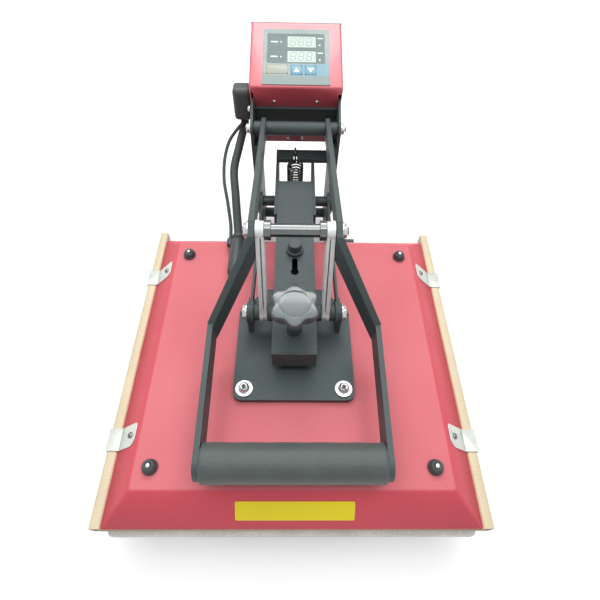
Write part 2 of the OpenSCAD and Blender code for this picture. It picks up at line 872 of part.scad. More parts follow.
module clip() {
    reach = 15.6;
    foot = [half_cover - reach * cover_inset / (cover_rise - lip), lip + reach];
    bend = [half_cover - (roll_rise - lip) * cover_inset / (cover_rise - lip), roll_rise];
    out = clip_t * unit([cover_rise - lip, cover_inset]);
    along = unit([cover_inset, lip - cover_rise]);
    drop = (foot[1] + out[1] - roll_rise - clip_t) / -along[1];
    translate([0, clip_len / 2, 0]) rotate([90, 0, 0]) linear_extrude(height = clip_len)
        polygon([foot, bend, [roll_out, roll_rise], [roll_out, roll_rise - 8],
            [roll_out + clip_t, roll_rise - 8],
            [roll_out + clip_t, roll_rise + clip_t], foot + out + drop * along, foot + out]);
}

module sheet_clips() {
    place() color(STEEL) both_sides() for (y = [clip_front, clip_back]) translate([0, y, 0]) clip();
}

module protective_sheet() {
    place() color(BEIGE) {
        span([-roll_out, 2, pad_top], [roll_out, cover_w - 2, sheet_top]);
        both_sides() span([roll_in, 0, pad_top], [roll_out, cover_w + 15, roll_rise]);
    }
}

module lead_boot() {
    place() color([0.13, 0.14, 0.14]) {
        translate([boot_x, boot_back - 8, boot_z]) rotate([90, 0, 0])
            cylinder(h = boot_back - boot_front - boot_r - 8, r = boot_r);
        translate([boot_x, boot_front + boot_r, boot_z]) sphere(r = boot_r);
        span([boot_x - boot_r + 0.5, boot_front + boot_r, cover_rise],
            [boot_x + boot_r - 0.5, boot_back - 8, boot_z]);
        span([boot_x - 16, boot_back - 10, cover_rise], [boot_x + boot_r, boot_back, cover_rise + 2 * boot_r]);
    }
}

// Handle
bend_y = rod_y - 14;
bend_z = rod_z - 11;
elbow_y = 190;
elbow_z = grip_z + 14;
tube_r = 9.5;
core_r = 10;
stud_r = 6;

// Corner offset of a strip where its side normals are m and n
function mitre(m, n) = (m + n) / (1 + m * n);

// Bent flat bar, as where its plan and its side outline cross
module handle_bar() {
    x1 = lever_x + bar_t / 2;
    x2 = grip_x + bar_t / 2;
    slant = unit([x2 - x1, elbow_y - bend_y]);
    flank = [-slant[1], slant[0]];
    corner = bar_t / 2 * mitre([1, 0], flank);
    half = [bar_t / 2, 0];
    plan = [[x1, hinge_y + 20] + half, [x1, bend_y] + corner, [x2, elbow_y] + corner, [x2, grip_y - 20] + half,
        [x2, grip_y - 20] - half, [x2, elbow_y] - corner, [x1, bend_y] - corner, [x1, hinge_y + 20] - half];
    outline = [[hinge_y, hinge_z + 13], [rod_y, rod_z + 14], [bend_y, bend_z + 16], [elbow_y, elbow_z + 15],
        [grip_y, grip_z + 16], [grip_y, grip_z - 16], [elbow_y, elbow_z - 15], [bend_y, bend_z - 16],
        [rod_y + 10, rod_z - 14], [hinge_y, hinge_z - 13]];
    difference() {
        intersection() {
            linear_extrude(height = rod_z + 40) polygon(plan);
            union() {
                plate_x(0, 2 * grip_x, outline);
                bar_x(0, 2 * grip_x, hinge_y, hinge_z, 14);
                bar_x(0, 2 * grip_x, grip_y, grip_z, 17);
            }
        }
        bar_x(lever_x - 1, lever_x + bar_t + 1, hinge_y, hinge_z, tube_r);
        bar_x(lever_x - 1, lever_x + bar_t + 1, rod_y, rod_z, shaft_r);
        bar_x(grip_x - 1, grip_x + bar_t + 1, grip_y, grip_z, stud_r);
    }
}

module left_handle_bar() {
    place() color(BLACK) mirror([1, 0, 0]) handle_bar();
}

module right_handle_bar() {
    place() color(BLACK) handle_bar();
}

module grip() {
    place() color([0.2, 0.21, 0.21]) difference() {
        bar_x(-grip_x, grip_x, grip_y, grip_z, grip_d / 2);
        bar_x(-grip_x - 1, grip_x + 1, grip_y, grip_z, core_r);
    }
}

module grip_core() {
    place() color(STEEL) {
        bar_x(-grip_x, grip_x, grip_y, grip_z, core_r);
        bar_x(-grip_x - bar_t, grip_x + bar_t, grip_y, grip_z, stud_r);
        both_sides() bar_x(grip_x + bar_t, grip_x + bar_t + 2, grip_y, grip_z, stud_r + 3);
    }
}

module pivot_tube() {
    half = cheek_x - 0.4;
    place() color(BLACK) difference() {
        bar_x(-half, half, hinge_y, hinge_z, tube_r);
        bar_x(-half - 1, half + 1, hinge_y, hinge_z, pivot_r + run_fit);
    }
}

module cross_rod() {
    place() color(STEEL) {
        bar_x(-lever_x - bar_t, lever_x + bar_t, rod_y, rod_z, shaft_r);
        both_sides() bar_x(lever_x + bar_t, lever_x + bar_t + 7, rod_y, rod_z, shaft_r + 2);
    }
}

module rod_collars() {
    place() color(ZINC) both_sides() difference() {
        bar_x(inner_link_x - 7.3, inner_link_x - 0.3, rod_y, rod_z, shaft_r + 3.5);
        bar_x(inner_link_x - 9, inner_link_x, rod_y, rod_z, shaft_r);
    }
}

module pressure_knob() {
    lobes = 6;
    scallop_r = 14;
    scallop_depth = 4;
    place() color(GREY) translate([0, knob_y, 0]) difference() {
        union() {
            translate([0, 0, beam_top + 2]) cylinder(h = knob_base - beam_top, r = screw_r + 3);
            translate([0, 0, knob_base]) linear_extrude(height = knob_h) difference() {
                circle(d = knob_d);
                for (i = [0 : lobes - 1]) rotate([0, 0, i * 360 / lobes])
                    translate([knob_d / 2 + scallop_r - scallop_depth, 0]) circle(r = scallop_r);
            }
        }
        translate([0, 0, beam_top]) cylinder(h = knob_base - beam_top + 12, r = screw_r);
    }
}

module pressure_screw() {
    place() color(STEEL) translate([0, knob_y, plate_top + 0.2])
        cylinder(h = knob_base + 12 - plate_top - 0.2, r = screw_r);
}

base_rail_left();
base_rail_right();
base_cross_front();
base_cross_rear();
rail_caps();
rubber_feet();
lower_platen();
silicone_pad();
left_upright();
right_upright();
rear_tie();
left_cheek();
right_cheek();
bracket_plate();
handle_pivot_bolt();
arm_pivot_bolt();
control_box();
box_back();
control_panel();
displays();
power_inlet();
cable_housing();
heater_lead();
sensor_lead();
lift_spring();
beam();
beam_cap();
left_tail_plate();
right_tail_plate();
tail_crossbar();
arm_hub();
stop_boss();
mounting_plate();
left_ear();
right_ear();
press_shaft();
shaft_spacers();
plate_bolts();
heat_cover();
heat_platen();
standoffs();
cover_caps();
sheet_clips();
protective_sheet();
lead_boot();
left_handle_bar();
right_handle_bar();
grip();
grip_core();
pivot_tube();
cross_rod();
rod_collars();
left_links();
right_links();
pressure_knob();
pressure_screw();
key_set();
key_up();
key_down();
power_rocker();
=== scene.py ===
"""Flat heat press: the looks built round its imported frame.

The steps give their sizes in millimetres. The frame, the sidebar's sizes, the lamps and the floor are in
metres.
"""

import json
import math

import bmesh
import bpy
from mathutils import Matrix, Vector

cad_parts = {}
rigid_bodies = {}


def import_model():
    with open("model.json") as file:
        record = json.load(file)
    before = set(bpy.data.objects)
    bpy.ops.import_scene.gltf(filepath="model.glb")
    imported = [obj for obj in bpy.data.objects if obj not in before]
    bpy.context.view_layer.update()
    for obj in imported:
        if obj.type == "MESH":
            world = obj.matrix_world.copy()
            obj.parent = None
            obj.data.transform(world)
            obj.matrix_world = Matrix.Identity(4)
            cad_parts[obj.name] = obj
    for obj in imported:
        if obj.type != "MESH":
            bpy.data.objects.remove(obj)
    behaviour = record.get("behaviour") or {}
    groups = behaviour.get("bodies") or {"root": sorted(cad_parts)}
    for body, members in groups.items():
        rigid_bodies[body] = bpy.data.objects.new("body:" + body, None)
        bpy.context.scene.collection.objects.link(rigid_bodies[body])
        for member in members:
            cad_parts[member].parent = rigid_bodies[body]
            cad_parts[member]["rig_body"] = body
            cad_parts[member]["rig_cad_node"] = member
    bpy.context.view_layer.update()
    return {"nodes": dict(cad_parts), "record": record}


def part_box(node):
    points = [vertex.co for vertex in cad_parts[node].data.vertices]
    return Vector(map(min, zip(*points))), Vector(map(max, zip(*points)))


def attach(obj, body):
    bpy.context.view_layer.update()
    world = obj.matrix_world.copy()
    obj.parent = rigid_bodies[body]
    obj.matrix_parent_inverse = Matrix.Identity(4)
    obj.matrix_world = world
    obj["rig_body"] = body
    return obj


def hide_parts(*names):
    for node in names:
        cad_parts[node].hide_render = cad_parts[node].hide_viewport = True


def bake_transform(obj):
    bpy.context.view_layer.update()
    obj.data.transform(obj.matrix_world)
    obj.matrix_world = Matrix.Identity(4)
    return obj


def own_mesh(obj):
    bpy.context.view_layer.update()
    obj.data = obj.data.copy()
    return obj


bl_info = {
    "name": "Flat heat press",
    "version": (1, 0, 0),
    "blender": (4, 5, 0),
    "location": "View3D > Sidebar > Heat press",
    "description": "Builds the visible pieces, finishes and stage of a clamshell heat press",
    "category": "Add Mesh",
}

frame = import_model()
NODES = frame["nodes"]
COVER_LOW, COVER_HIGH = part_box("heat_cover")
MM = 0.001
NEAR = 1e-5
WELD = 1e-6
FLAT = math.radians(0.6)
ACROSS, BACK, UP = Vector((1, 0, 0)), Vector((0, 1, 0)), Vector((0, 0, 1))
FLIP = Matrix.Scale(-1, 4, ACROSS)


def at(x, back, up):
    """A point right of the middle, behind the cover's front edge and above its rim."""
    return Vector((x * MM, COVER_LOW.y + back * MM, COVER_LOW.z + up * MM))


def extent(node):
    """A CAD node's middle, and half its size in millimetres."""
    low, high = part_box(node)
    return (low + high) / 2, (high - low) / 2 / MM


def length(name, text, value):
    """A size in metres that the sidebar shows."""
    return bpy.props.FloatProperty(name=name, description=text, default=value, unit="LENGTH")


class PressSizes(bpy.types.PropertyGroup):
    """Sizes of the dressed pieces."""

    edge: length("Plate edge", "Rounding of cut steel edges", 0.0006)
    crease: length("Cover crease", "Rounding of the cover's folds", 0.002)
    knob_lobes: bpy.props.IntProperty(
        name="Knob lobes", description="Finger lobes round the pressure knob", default=6, min=4, max=9
    )
    lead: length("Heater lead", "Thickness of the sleeved heater lead", 0.0124)
    sensor: length("Sensor lead", "Thickness of the sensor lead", 0.005)
    wire: length("Spring wire", "Thickness of the lift spring's wire", 0.003)


def tint(name, text, value):
    """A colour that the sidebar shows."""
    return bpy.props.FloatVectorProperty(
        name=name, description=text, default=value, size=3, min=0.0, max=1.0, subtype="COLOR"
    )


class PressColours(bpy.types.PropertyGroup):
    """Colours of the finishes."""

    red: tint("Red paint", "Cover and control box", (0.68, 0.1, 0.132))
    black: tint("Black coat", "Powder coat on the steel", (0.058, 0.078, 0.08))
    plastic: tint("Black plastic", "Caps and housings", (0.05, 0.058, 0.06))
    foam: tint("Grip foam", "Sleeve on the handle", (0.07, 0.084, 0.08))
    knob: tint("Knob plastic", "Pressure knob", (0.055, 0.075, 0.077))
    cloth: tint("Coated cloth", "Protective sheet", (0.70, 0.61, 0.42))
    silicone: tint("Silicone", "Pad on the lower platen", (0.72, 0.7, 0.68))
    film: tint("Panel film", "Control panel", (0.15, 0.215, 0.205))
    window: tint("Display window", "Displays on the panel", (0.54, 0.64, 0.59))
    blue: tint("Blue keys", "Arrow keys", (0.125, 0.3, 0.39))
    yellow: tint("Yellow plate", "Blank plate on the cover", (0.86, 0.7, 0.008))


def leave():
    bpy.ops.object.mode_set(mode="OBJECT")


def clear():
    """Object mode with nothing selected."""
    if bpy.context.object and bpy.context.object.mode != "OBJECT":
        leave()
    bpy.ops.object.select_all(action="DESELECT")


def pick(*objs):
    """Selects objects and makes the first one active."""
    clear()
    for o in objs:
        o.select_set(True)
    bpy.context.view_layer.objects.active = objs[0]


def edit(obj, action="SELECT"):
    """Edit mode by vertices, with all or none of them selected."""
    pick(obj)
    bpy.ops.object.mode_set(mode="EDIT")
    bpy.ops.mesh.select_mode(type="VERT")
    bpy.ops.mesh.select_all(action=action)


def choose(obj, kind, test):
    """In edit mode, selects the edges or faces that pass a test."""
    edit(obj, "DESELECT")
    bpy.ops.mesh.select_mode(type=kind)
    mesh = bmesh.from_edit_mesh(obj.data)
    for item in {"EDGE": mesh.edges, "FACE": mesh.faces}[kind]:
        item.select_set(bool(test(item)))
    bmesh.update_edit_mesh(obj.data)


def call(obj, name):
    obj.name = obj.data.name = name
    return obj


def settle(obj, name):
    """Puts the object's place into its mesh."""
    pick(obj)
    bpy.ops.object.transform_apply(location=True, rotation=True, scale=True)
    return call(obj, name)


def chain(name, points):
    """Edges through the points, drawn by extruding one vertex."""
    clear()
    bpy.ops.mesh.primitive_plane_add(size=2 * MM, location=points[0])
    obj = settle(bpy.context.object, name)
    edit(obj)
    bpy.ops.mesh.merge(type="CENTER")
    for a, b in zip(points, points[1:]):
        bpy.ops.mesh.extrude_vertices_move(TRANSFORM_OT_translate={"value": Vector(b) - Vector(a)})
    return obj


def fill():
    """Closes the drawn loop with one face."""
    bpy.ops.mesh.select_all(action="SELECT")
    bpy.ops.mesh.edge_face_add()
    bpy.ops.mesh.select_all(action="SELECT")


def push_out(value):
    bpy.ops.mesh.extrude_region_move(TRANSFORM_OT_translate={"value": value})


def outward():
    """Welds the mesh, turns its faces outward and leaves edit mode."""
    bpy.ops.mesh.select_all(action="SELECT")
    bpy.ops.mesh.remove_doubles(threshold=WELD)
    bpy.ops.mesh.normals_make_consistent(inside=False)
    leave()


def slab(name, points, push):
    """A flat outline pushed into a plate."""
    obj = chain(name, points)
    fill()
    push_out(Vector(push))
    outward()
    return obj


def lathe(name, profile, origin, axis, steps=40):
    """A profile of (radius, height) pairs spun round an axis."""
    axis = Vector(axis).normalized()
    side = axis.orthogonal().normalized()
    origin = Vector(origin)
    obj = chain(name, [origin + side * (r * MM) + axis * (h * MM) for r, h in profile])
    bpy.ops.mesh.select_all(action="SELECT")
    bpy.ops.mesh.spin(steps=steps, angle=2 * math.pi, center=origin, axis=axis)
    outward()
    return obj


def tube(name, points, radius, sides):
    """A round cord along points."""
    chain(name, points)
    leave()
    bpy.ops.object.convert(target="CURVE")
    curve = bpy.context.object.data
    curve.bevel_depth = radius
    curve.bevel_resolution = sides
    curve.use_fill_caps = True
    bpy.ops.object.convert(target="MESH")
    obj = bpy.context.object
    edit(obj)
    outward()
    return obj


def curve_through(points, per):
    """Points of a smooth line through the given ones."""
    pts = [Vector(p) for p in points]
    pts = [2 * pts[0] - pts[1], *pts, 2 * pts[-1] - pts[-2]]
    out = []
    for a, b, c, d in zip(pts, pts[1:], pts[2:], pts[3:]):
        for t in (i / per for i in range(per)):
            square, cube = 2 * a - 5 * b + 4 * c - d, 3 * b - a - 3 * c + d
            out.append(0.5 * (2 * b + (c - a) * t + square * t * t + cube * t**3))
    return out + [pts[-2]]


def finish_with(obj, kind, **values):
    """Adds a modifier and applies it."""
    pick(obj)
    bpy.ops.object.modifier_add(type=kind)
    m = obj.modifiers[-1]
    for k, v in values.items():
        setattr(m, k, v)
    bpy.ops.object.modifier_apply(modifier=m.name)


def soften(obj, width, segments=2, degrees=40):
    """Rounds every edge that is sharper than an angle."""
    angle = math.radians(degrees)
    finish_with(obj, "BEVEL", width=width * MM, segments=segments, limit_method="ANGLE", angle_limit=angle)


def round_edges(obj, test, width, segments):
    """Rounds the edges that pass a test."""
    choose(obj, "EDGE", test)
    bpy.ops.mesh.bevel(offset=width * MM, segments=segments, affect="EDGES")
    leave()


def shade(obj, degrees):
    pick(obj)
    bpy.ops.object.shade_smooth_by_angle(angle=math.radians(degrees))


def merge(name, *objs):
    pick(*objs)
    bpy.ops.object.join()
    return call(bpy.context.object, name)


def twin(obj, name, matrix):
    """A copy with its own mesh, placed by a matrix."""
    pick(obj)
    bpy.ops.object.duplicate(linked=False)
    new = bpy.context.object
    new.data.transform(matrix)
    if matrix.determinant() < 0:
        new.data.flip_normals()
    return call(new, name)


def corners(first, stem, moves):
    """The piece at the front right corner and its copies at the other corners."""
    call(first, stem + "_front_right")
    return [first, *[twin(first, stem + "_" + corner, move) for corner, move in moves.items()]]


def wear(obj, material):
    """Makes a material the object's only one."""
    obj.data.materials.clear()
    obj.data.materials.append(material)
    for p in obj.data.polygons:
        p.material_index = 0


FINISH = {}


def done(obj, body, finish, *stands_for, slot=None, angle=None):
    """Gives a finished piece its smoothing, material and body, and hides the CAD nodes it stands for."""
    if angle:
        shade(obj, angle)
    wear(obj, FINISH[finish])
    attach(obj, body)
    if stands_for:
        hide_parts(*stands_for)


class Tree:
    """Short words for placing and wiring nodes."""

    def __init__(self, owner):
        self.nodes, self.links = owner.nodes, owner.links

    def add(self, kind, **values):
        node = self.nodes.new("ShaderNode" + kind)
        for k, v in values.items():
            setattr(node, k, v)
        return node

    def put(self, source, target):
        if isinstance(source, bpy.types.NodeSocket):
            self.links.new(source, target)
        else:
            target.default_value = source

    def noise(self, vector, scale, detail=2.0, rough=0.5):
        n = self.add("TexNoise")
        for key, v in (("Vector", vector), ("Scale", scale), ("Detail", detail), ("Roughness", rough)):
            self.put(v, n.inputs[key])
        return n.outputs["Fac"]

    def cells(self, vector, scale):
        """Distance to the middle of the nearest cell."""
        n = self.add("TexVoronoi", feature="F1")
        self.put(vector, n.inputs["Vector"])
        self.put(scale, n.inputs["Scale"])
        return n.outputs["Distance"]

    def math(self, kind, a, b):
        n = self.add("Math", operation=kind)
        self.put(a, n.inputs[0])
        self.put(b, n.inputs[1])
        return n.outputs[0]

    def vector(self, kind, a, b=None, out="Vector"):
        n = self.add("VectorMath", operation=kind)
        self.put(a, n.inputs[0])
        if b is not None:
            self.put(b, n.inputs["Scale" if kind == "SCALE" else 1])
        return n.outputs[out]

    def scaled(self, colour, by):
        return self.vector("SCALE", colour, by)

    def step(self, value, low, high, to_low=0.0, to_high=1.0):
        n = self.add("MapRange")
        self.put(value, n.inputs["Value"])
        for key, v in zip(("From Min", "From Max", "To Min", "To Max"), (low, high, to_low, to_high)):
            self.put(v, n.inputs[key])
        return n.outputs["Result"]

    def drift(self, value, low, high):
        """Spreads the middle of a noise between two values."""
        return self.step(value, 0.3, 0.7, low, high)

    def mix(self, share, a, b):
        n = self.add("Mix", data_type="RGBA")
        for key, v in (("Factor", share), ("A", a), ("B", b)):
            self.put(v, n.inputs[key])
        return n.outputs["Result"]


COLOUR, NUMBER, VECTOR = "NodeSocketColor", "NodeSocketFloat", "NodeSocketVector"
SURFACE = ("Colour", COLOUR), ("Roughness", NUMBER), ("Height", NUMBER)


def effect(name, inputs, outputs=SURFACE):
    """An empty node group that takes a place, a colour and its own named values."""
    group = bpy.data.node_groups.new(name, "ShaderNodeTree")
    for label, kind, value in (("Vector", VECTOR, (0, 0, 0)), ("Colour", COLOUR, (1, 1, 1, 1)), *inputs):
        group.interface.new_socket(label, in_out="INPUT", socket_type=kind).default_value = value
    for label, kind in outputs:
        group.interface.new_socket(label, in_out="OUTPUT", socket_type=kind)
    given = group.nodes.new("NodeGroupInput").outputs
    made = group.nodes.new("NodeGroupOutput").inputs
    return group, Tree(group), given, made


def coat_effect():
    """Sprayed coat: slow colour drift, fine orange peel, a few dust specks."""
    group, t, given, made = effect("sprayed_coat", [
        ("Drift", NUMBER, 0.12), ("Peel Scale", NUMBER, 900.0), ("Speck", NUMBER, 0.3),
        ("Roughness", NUMBER, 0.4),
    ])
    place, amount = given["Vector"], given["Drift"]
    slow = t.noise(place, 9.0, 3.0)
    lift = t.drift(slow, t.math("SUBTRACT", 1.0, amount), t.math("ADD", 1.0, amount))
    near = t.step(t.cells(place, 130.0), 0.10, 0.04)
    rare = t.step(t.noise(place, 40.0, 1.0), 0.60, 0.66)
    speck = t.math("MULTIPLY", t.math("MULTIPLY", near, rare), given["Speck"])
    t.put(t.mix(speck, t.scaled(given["Colour"], lift), (0.75, 0.76, 0.74, 1)), made["Colour"])
    peel = t.noise(place, given["Peel Scale"], 2.0)
    t.put(t.math("ADD", peel, t.math("MULTIPLY", slow, 0.6)), made["Height"])
    smear = t.noise(place, 24.0, 4.0, 0.6)
    t.put(t.math("ADD", given["Roughness"], t.drift(smear, -0.05, 0.07)), made["Roughness"])
    return group


def rub_effect():
    """Edges rubbed lighter, found by rounding the normal a little."""
    group, t, given, made = effect(
        "rubbed_edge", [("Rubbed", COLOUR, (0.4, 0.4, 0.4, 1)), ("Amount", NUMBER, 0.5)], SURFACE[:1]
    )
    round_off = t.add("Bevel", samples=4)
    round_off.inputs["Radius"].default_value = 1.1 * MM
    straight = t.add("NewGeometry").outputs["Normal"]
    turned = t.vector("DOT_PRODUCT", round_off.outputs["Normal"], straight, out="Value")
    edge = t.step(turned, 0.985, 0.86)
    broken = t.step(t.noise(given["Vector"], 160.0, 4.0, 0.65), 0.38, 0.62)
    mask = t.math("MULTIPLY", t.math("MULTIPLY", edge, broken), given["Amount"])
    t.put(t.mix(mask, given["Colour"], given["Rubbed"]), made["Colour"])
    return group


def dust_effect():
    """Painted sheen: a paler colour on the upward faces of the closed press, standing in for reflected light.
    """
    group, t, given, made = effect(
        "dust_film", [("Dust", COLOUR, (0.6, 0.49, 0.48, 1)), ("Amount", NUMBER, 0.2)], SURFACE[:1]
    )
    side = t.add("SeparateXYZ")
    t.put(t.add("TexCoord").outputs["Normal"], side.inputs["Vector"])
    # faces that turn up get the painted sheen, as if light from above fell on them and reflected
    lies = t.step(side.outputs["Z"], 0.85, 0.98)
    uneven = t.drift(t.noise(given["Vector"], 9.0, 3.0), 0.85, 1.12)
    mask = t.math("MULTIPLY", t.math("MULTIPLY", lies, uneven), given["Amount"])
    t.put(t.mix(mask, given["Colour"], given["Dust"]), made["Colour"])
    return group


def brushed_effect():
    """Fine parallel scratches along one direction, with dull patches."""
    group, t, given, made = effect(
        "brushed_lines", [("Across", VECTOR, (1500, 1500, 40)), ("Roughness", NUMBER, 0.3)]
    )
    lines = t.noise(t.vector("MULTIPLY", given["Vector"], given["Across"]), 1.0)
    dull = t.noise(given["Vector"], 60.0, 3.0)
    shade_by = t.math("ADD", t.drift(lines, 0.95, 1.03), t.drift(dull, -0.06, 0.04))
    t.put(t.scaled(given["Colour"], shade_by), made["Colour"])
    t.put(t.math("ADD", given["Roughness"], t.drift(dull, -0.06, 0.1)), made["Roughness"])
    t.put(lines, made["Height"])
    return group


def weave_effect():
    """Plain weave of crossing threads, along X and Y."""
    group, t, given, made = effect("plain_weave", [("Threads", NUMBER, 260.0)])
    waves = []
    for axis in ("X", "Y"):
        w = t.add("TexWave", wave_type="BANDS", bands_direction=axis)
        for key, v in (("Vector", given["Vector"]), ("Scale", given["Threads"]), ("Distortion", 0.4)):
            t.put(v, w.inputs[key])
        waves.append(w.outputs["Fac"])
    threads = t.math("MULTIPLY", *waves)
    stain = t.noise(given["Vector"], 18.0, 4.0, 0.6)
    dark = t.mix(t.step(threads, 0.0, 0.5, 0.35, 0.0), given["Colour"], (0.34, 0.25, 0.13, 1))
    t.put(t.mix(t.step(stain, 0.45, 0.75, 0.0, 0.3), dark, (0.86, 0.80, 0.66, 1)), made["Colour"])
    t.put(t.drift(stain, 0.38, 0.55), made["Roughness"])
    t.put(threads, made["Height"])
    return group


def pore_effect():
    """Closed-cell foam or moulded rubber: tiny pits and soft blotches."""
    group, t, given, made = effect("foam_pores", [("Cells", NUMBER, 700.0), ("Roughness", NUMBER, 0.8)])
    pit = t.step(t.cells(given["Vector"], given["Cells"]), 0.05, 0.5)
    blotch = t.noise(given["Vector"], 35.0, 4.0, 0.6)
    shade_by = t.math("MULTIPLY", t.step(pit, 0.0, 1.0, 0.82, 1.05), t.drift(blotch, 0.86, 1.12))
    t.put(t.scaled(given["Colour"], shade_by), made["Colour"])
    t.put(t.math("ADD", given["Roughness"], t.drift(blotch, -0.08, 0.08)), made["Roughness"])
    t.put(pit, made["Height"])
    return group


EFFECTS = {}


def place_effect(tree, key, **values):
    node = tree.add("Group")
    node.node_tree = EFFECTS[key]
    for k, v in values.items():
        tree.put(v, node.inputs[k.replace("_", " ")])
    return node.outputs


def material(name, **sockets):
    """A Principled material with its plain values set on the shader's own sockets."""
    m = bpy.data.materials.new(name)
    m.use_nodes = True
    tree = Tree(m.node_tree)
    shader = m.node_tree.nodes["Principled BSDF"].inputs
    for k, v in sockets.items():
        shader[k.replace("_", " ")].default_value = v
    place = tree.add("TexCoord").outputs["Object"]
    return m, tree, shader, place


def relief(tree, shader, height, strength, depth):
    """Bumps a shader's surface by a height."""
    bump = tree.add("Bump")
    bump.inputs["Strength"].default_value = strength
    bump.inputs["Distance"].default_value = depth * MM
    tree.put(height, bump.inputs["Height"])
    tree.put(bump.outputs["Normal"], shader["Normal"])


def surface(name, colour, key, strength, depth, values, over=(), **sockets):
    """A material from one effect, with others laid over its colour."""
    m, t, shader, place = material(name, **sockets)
    made = place_effect(t, key, Vector=place, Colour=(*colour, 1), **values)
    shown = made["Colour"]
    for upper, extra in over:
        shown = place_effect(t, upper, Vector=place, Colour=shown, **extra)["Colour"]
    t.put(shown, shader["Base Color"])
    t.put(made["Roughness"], shader["Roughness"])
    relief(t, shader, made["Height"], strength, depth)
    return m


def coated(name, colour, rough, rubbed=None, amount=0.5, drift=0.1, peel=900.0, speck=0.25, depth=0.12,
           dust=0.0, **sockets):
    """A sprayed or moulded coat, with rubbed edges and a painted top sheen where they are asked for."""
    over = []
    if rubbed:
        over.append(("rub", {"Rubbed": (*rubbed, 1), "Amount": amount}))
    if dust:
        over.append(("dust", {"Amount": dust}))
    values = {"Drift": drift, "Peel_Scale": peel, "Speck": speck, "Roughness": rough}
    return surface(name, colour, "coat", 0.25, depth, values, over, **sockets)


def printed(name, colour, rough, drift, **more):
    """A film or ink, clean of dust specks unless they are asked for."""
    return coated(name, colour, rough, drift=drift, **{"speck": 0.0, **more})


def metal(name, colour, rough, across, metallic=1.0):
    """A brushed metal, with its scratches per metre along each axis."""
    values = {"Across": across, "Roughness": rough}
    return surface(name, colour, "brushed", 0.08, 0.05, values, Metallic=metallic)


def porous(name, colour, rough, cells, **sockets):
    """Foam or rubber with a number of cells per metre."""
    return surface(name, colour, "pores", 0.3, 0.3, {"Cells": cells, "Roughness": rough}, **sockets)


def braided(name, colour):
    """Sleeve of fine strands, painted lighter on the strands as highlight and darker in the gaps between them
    as shade.
    """
    m, t, shader, place = material(name, Roughness=0.62, Sheen_Weight=0.15)
    strands = t.step(t.cells(place, 850.0), 0.1, 0.6)
    tone = t.noise(place, 60.0, 3.0)
    share = t.math("MULTIPLY", t.step(strands, 0.0, 1.0, 0.0, 0.55), t.drift(tone, 0.6, 1.0))
    # painted highlight at 1.7 times the colour on the strands, painted shade at half of it in the gaps
    painted_lit, gap = ((*[c * by for c in colour], 1) for by in (1.7, 0.5))
    t.put(t.mix(share, painted_lit, gap), shader["Base Color"])
    relief(t, shader, strands, 0.4, 0.4)
    return m


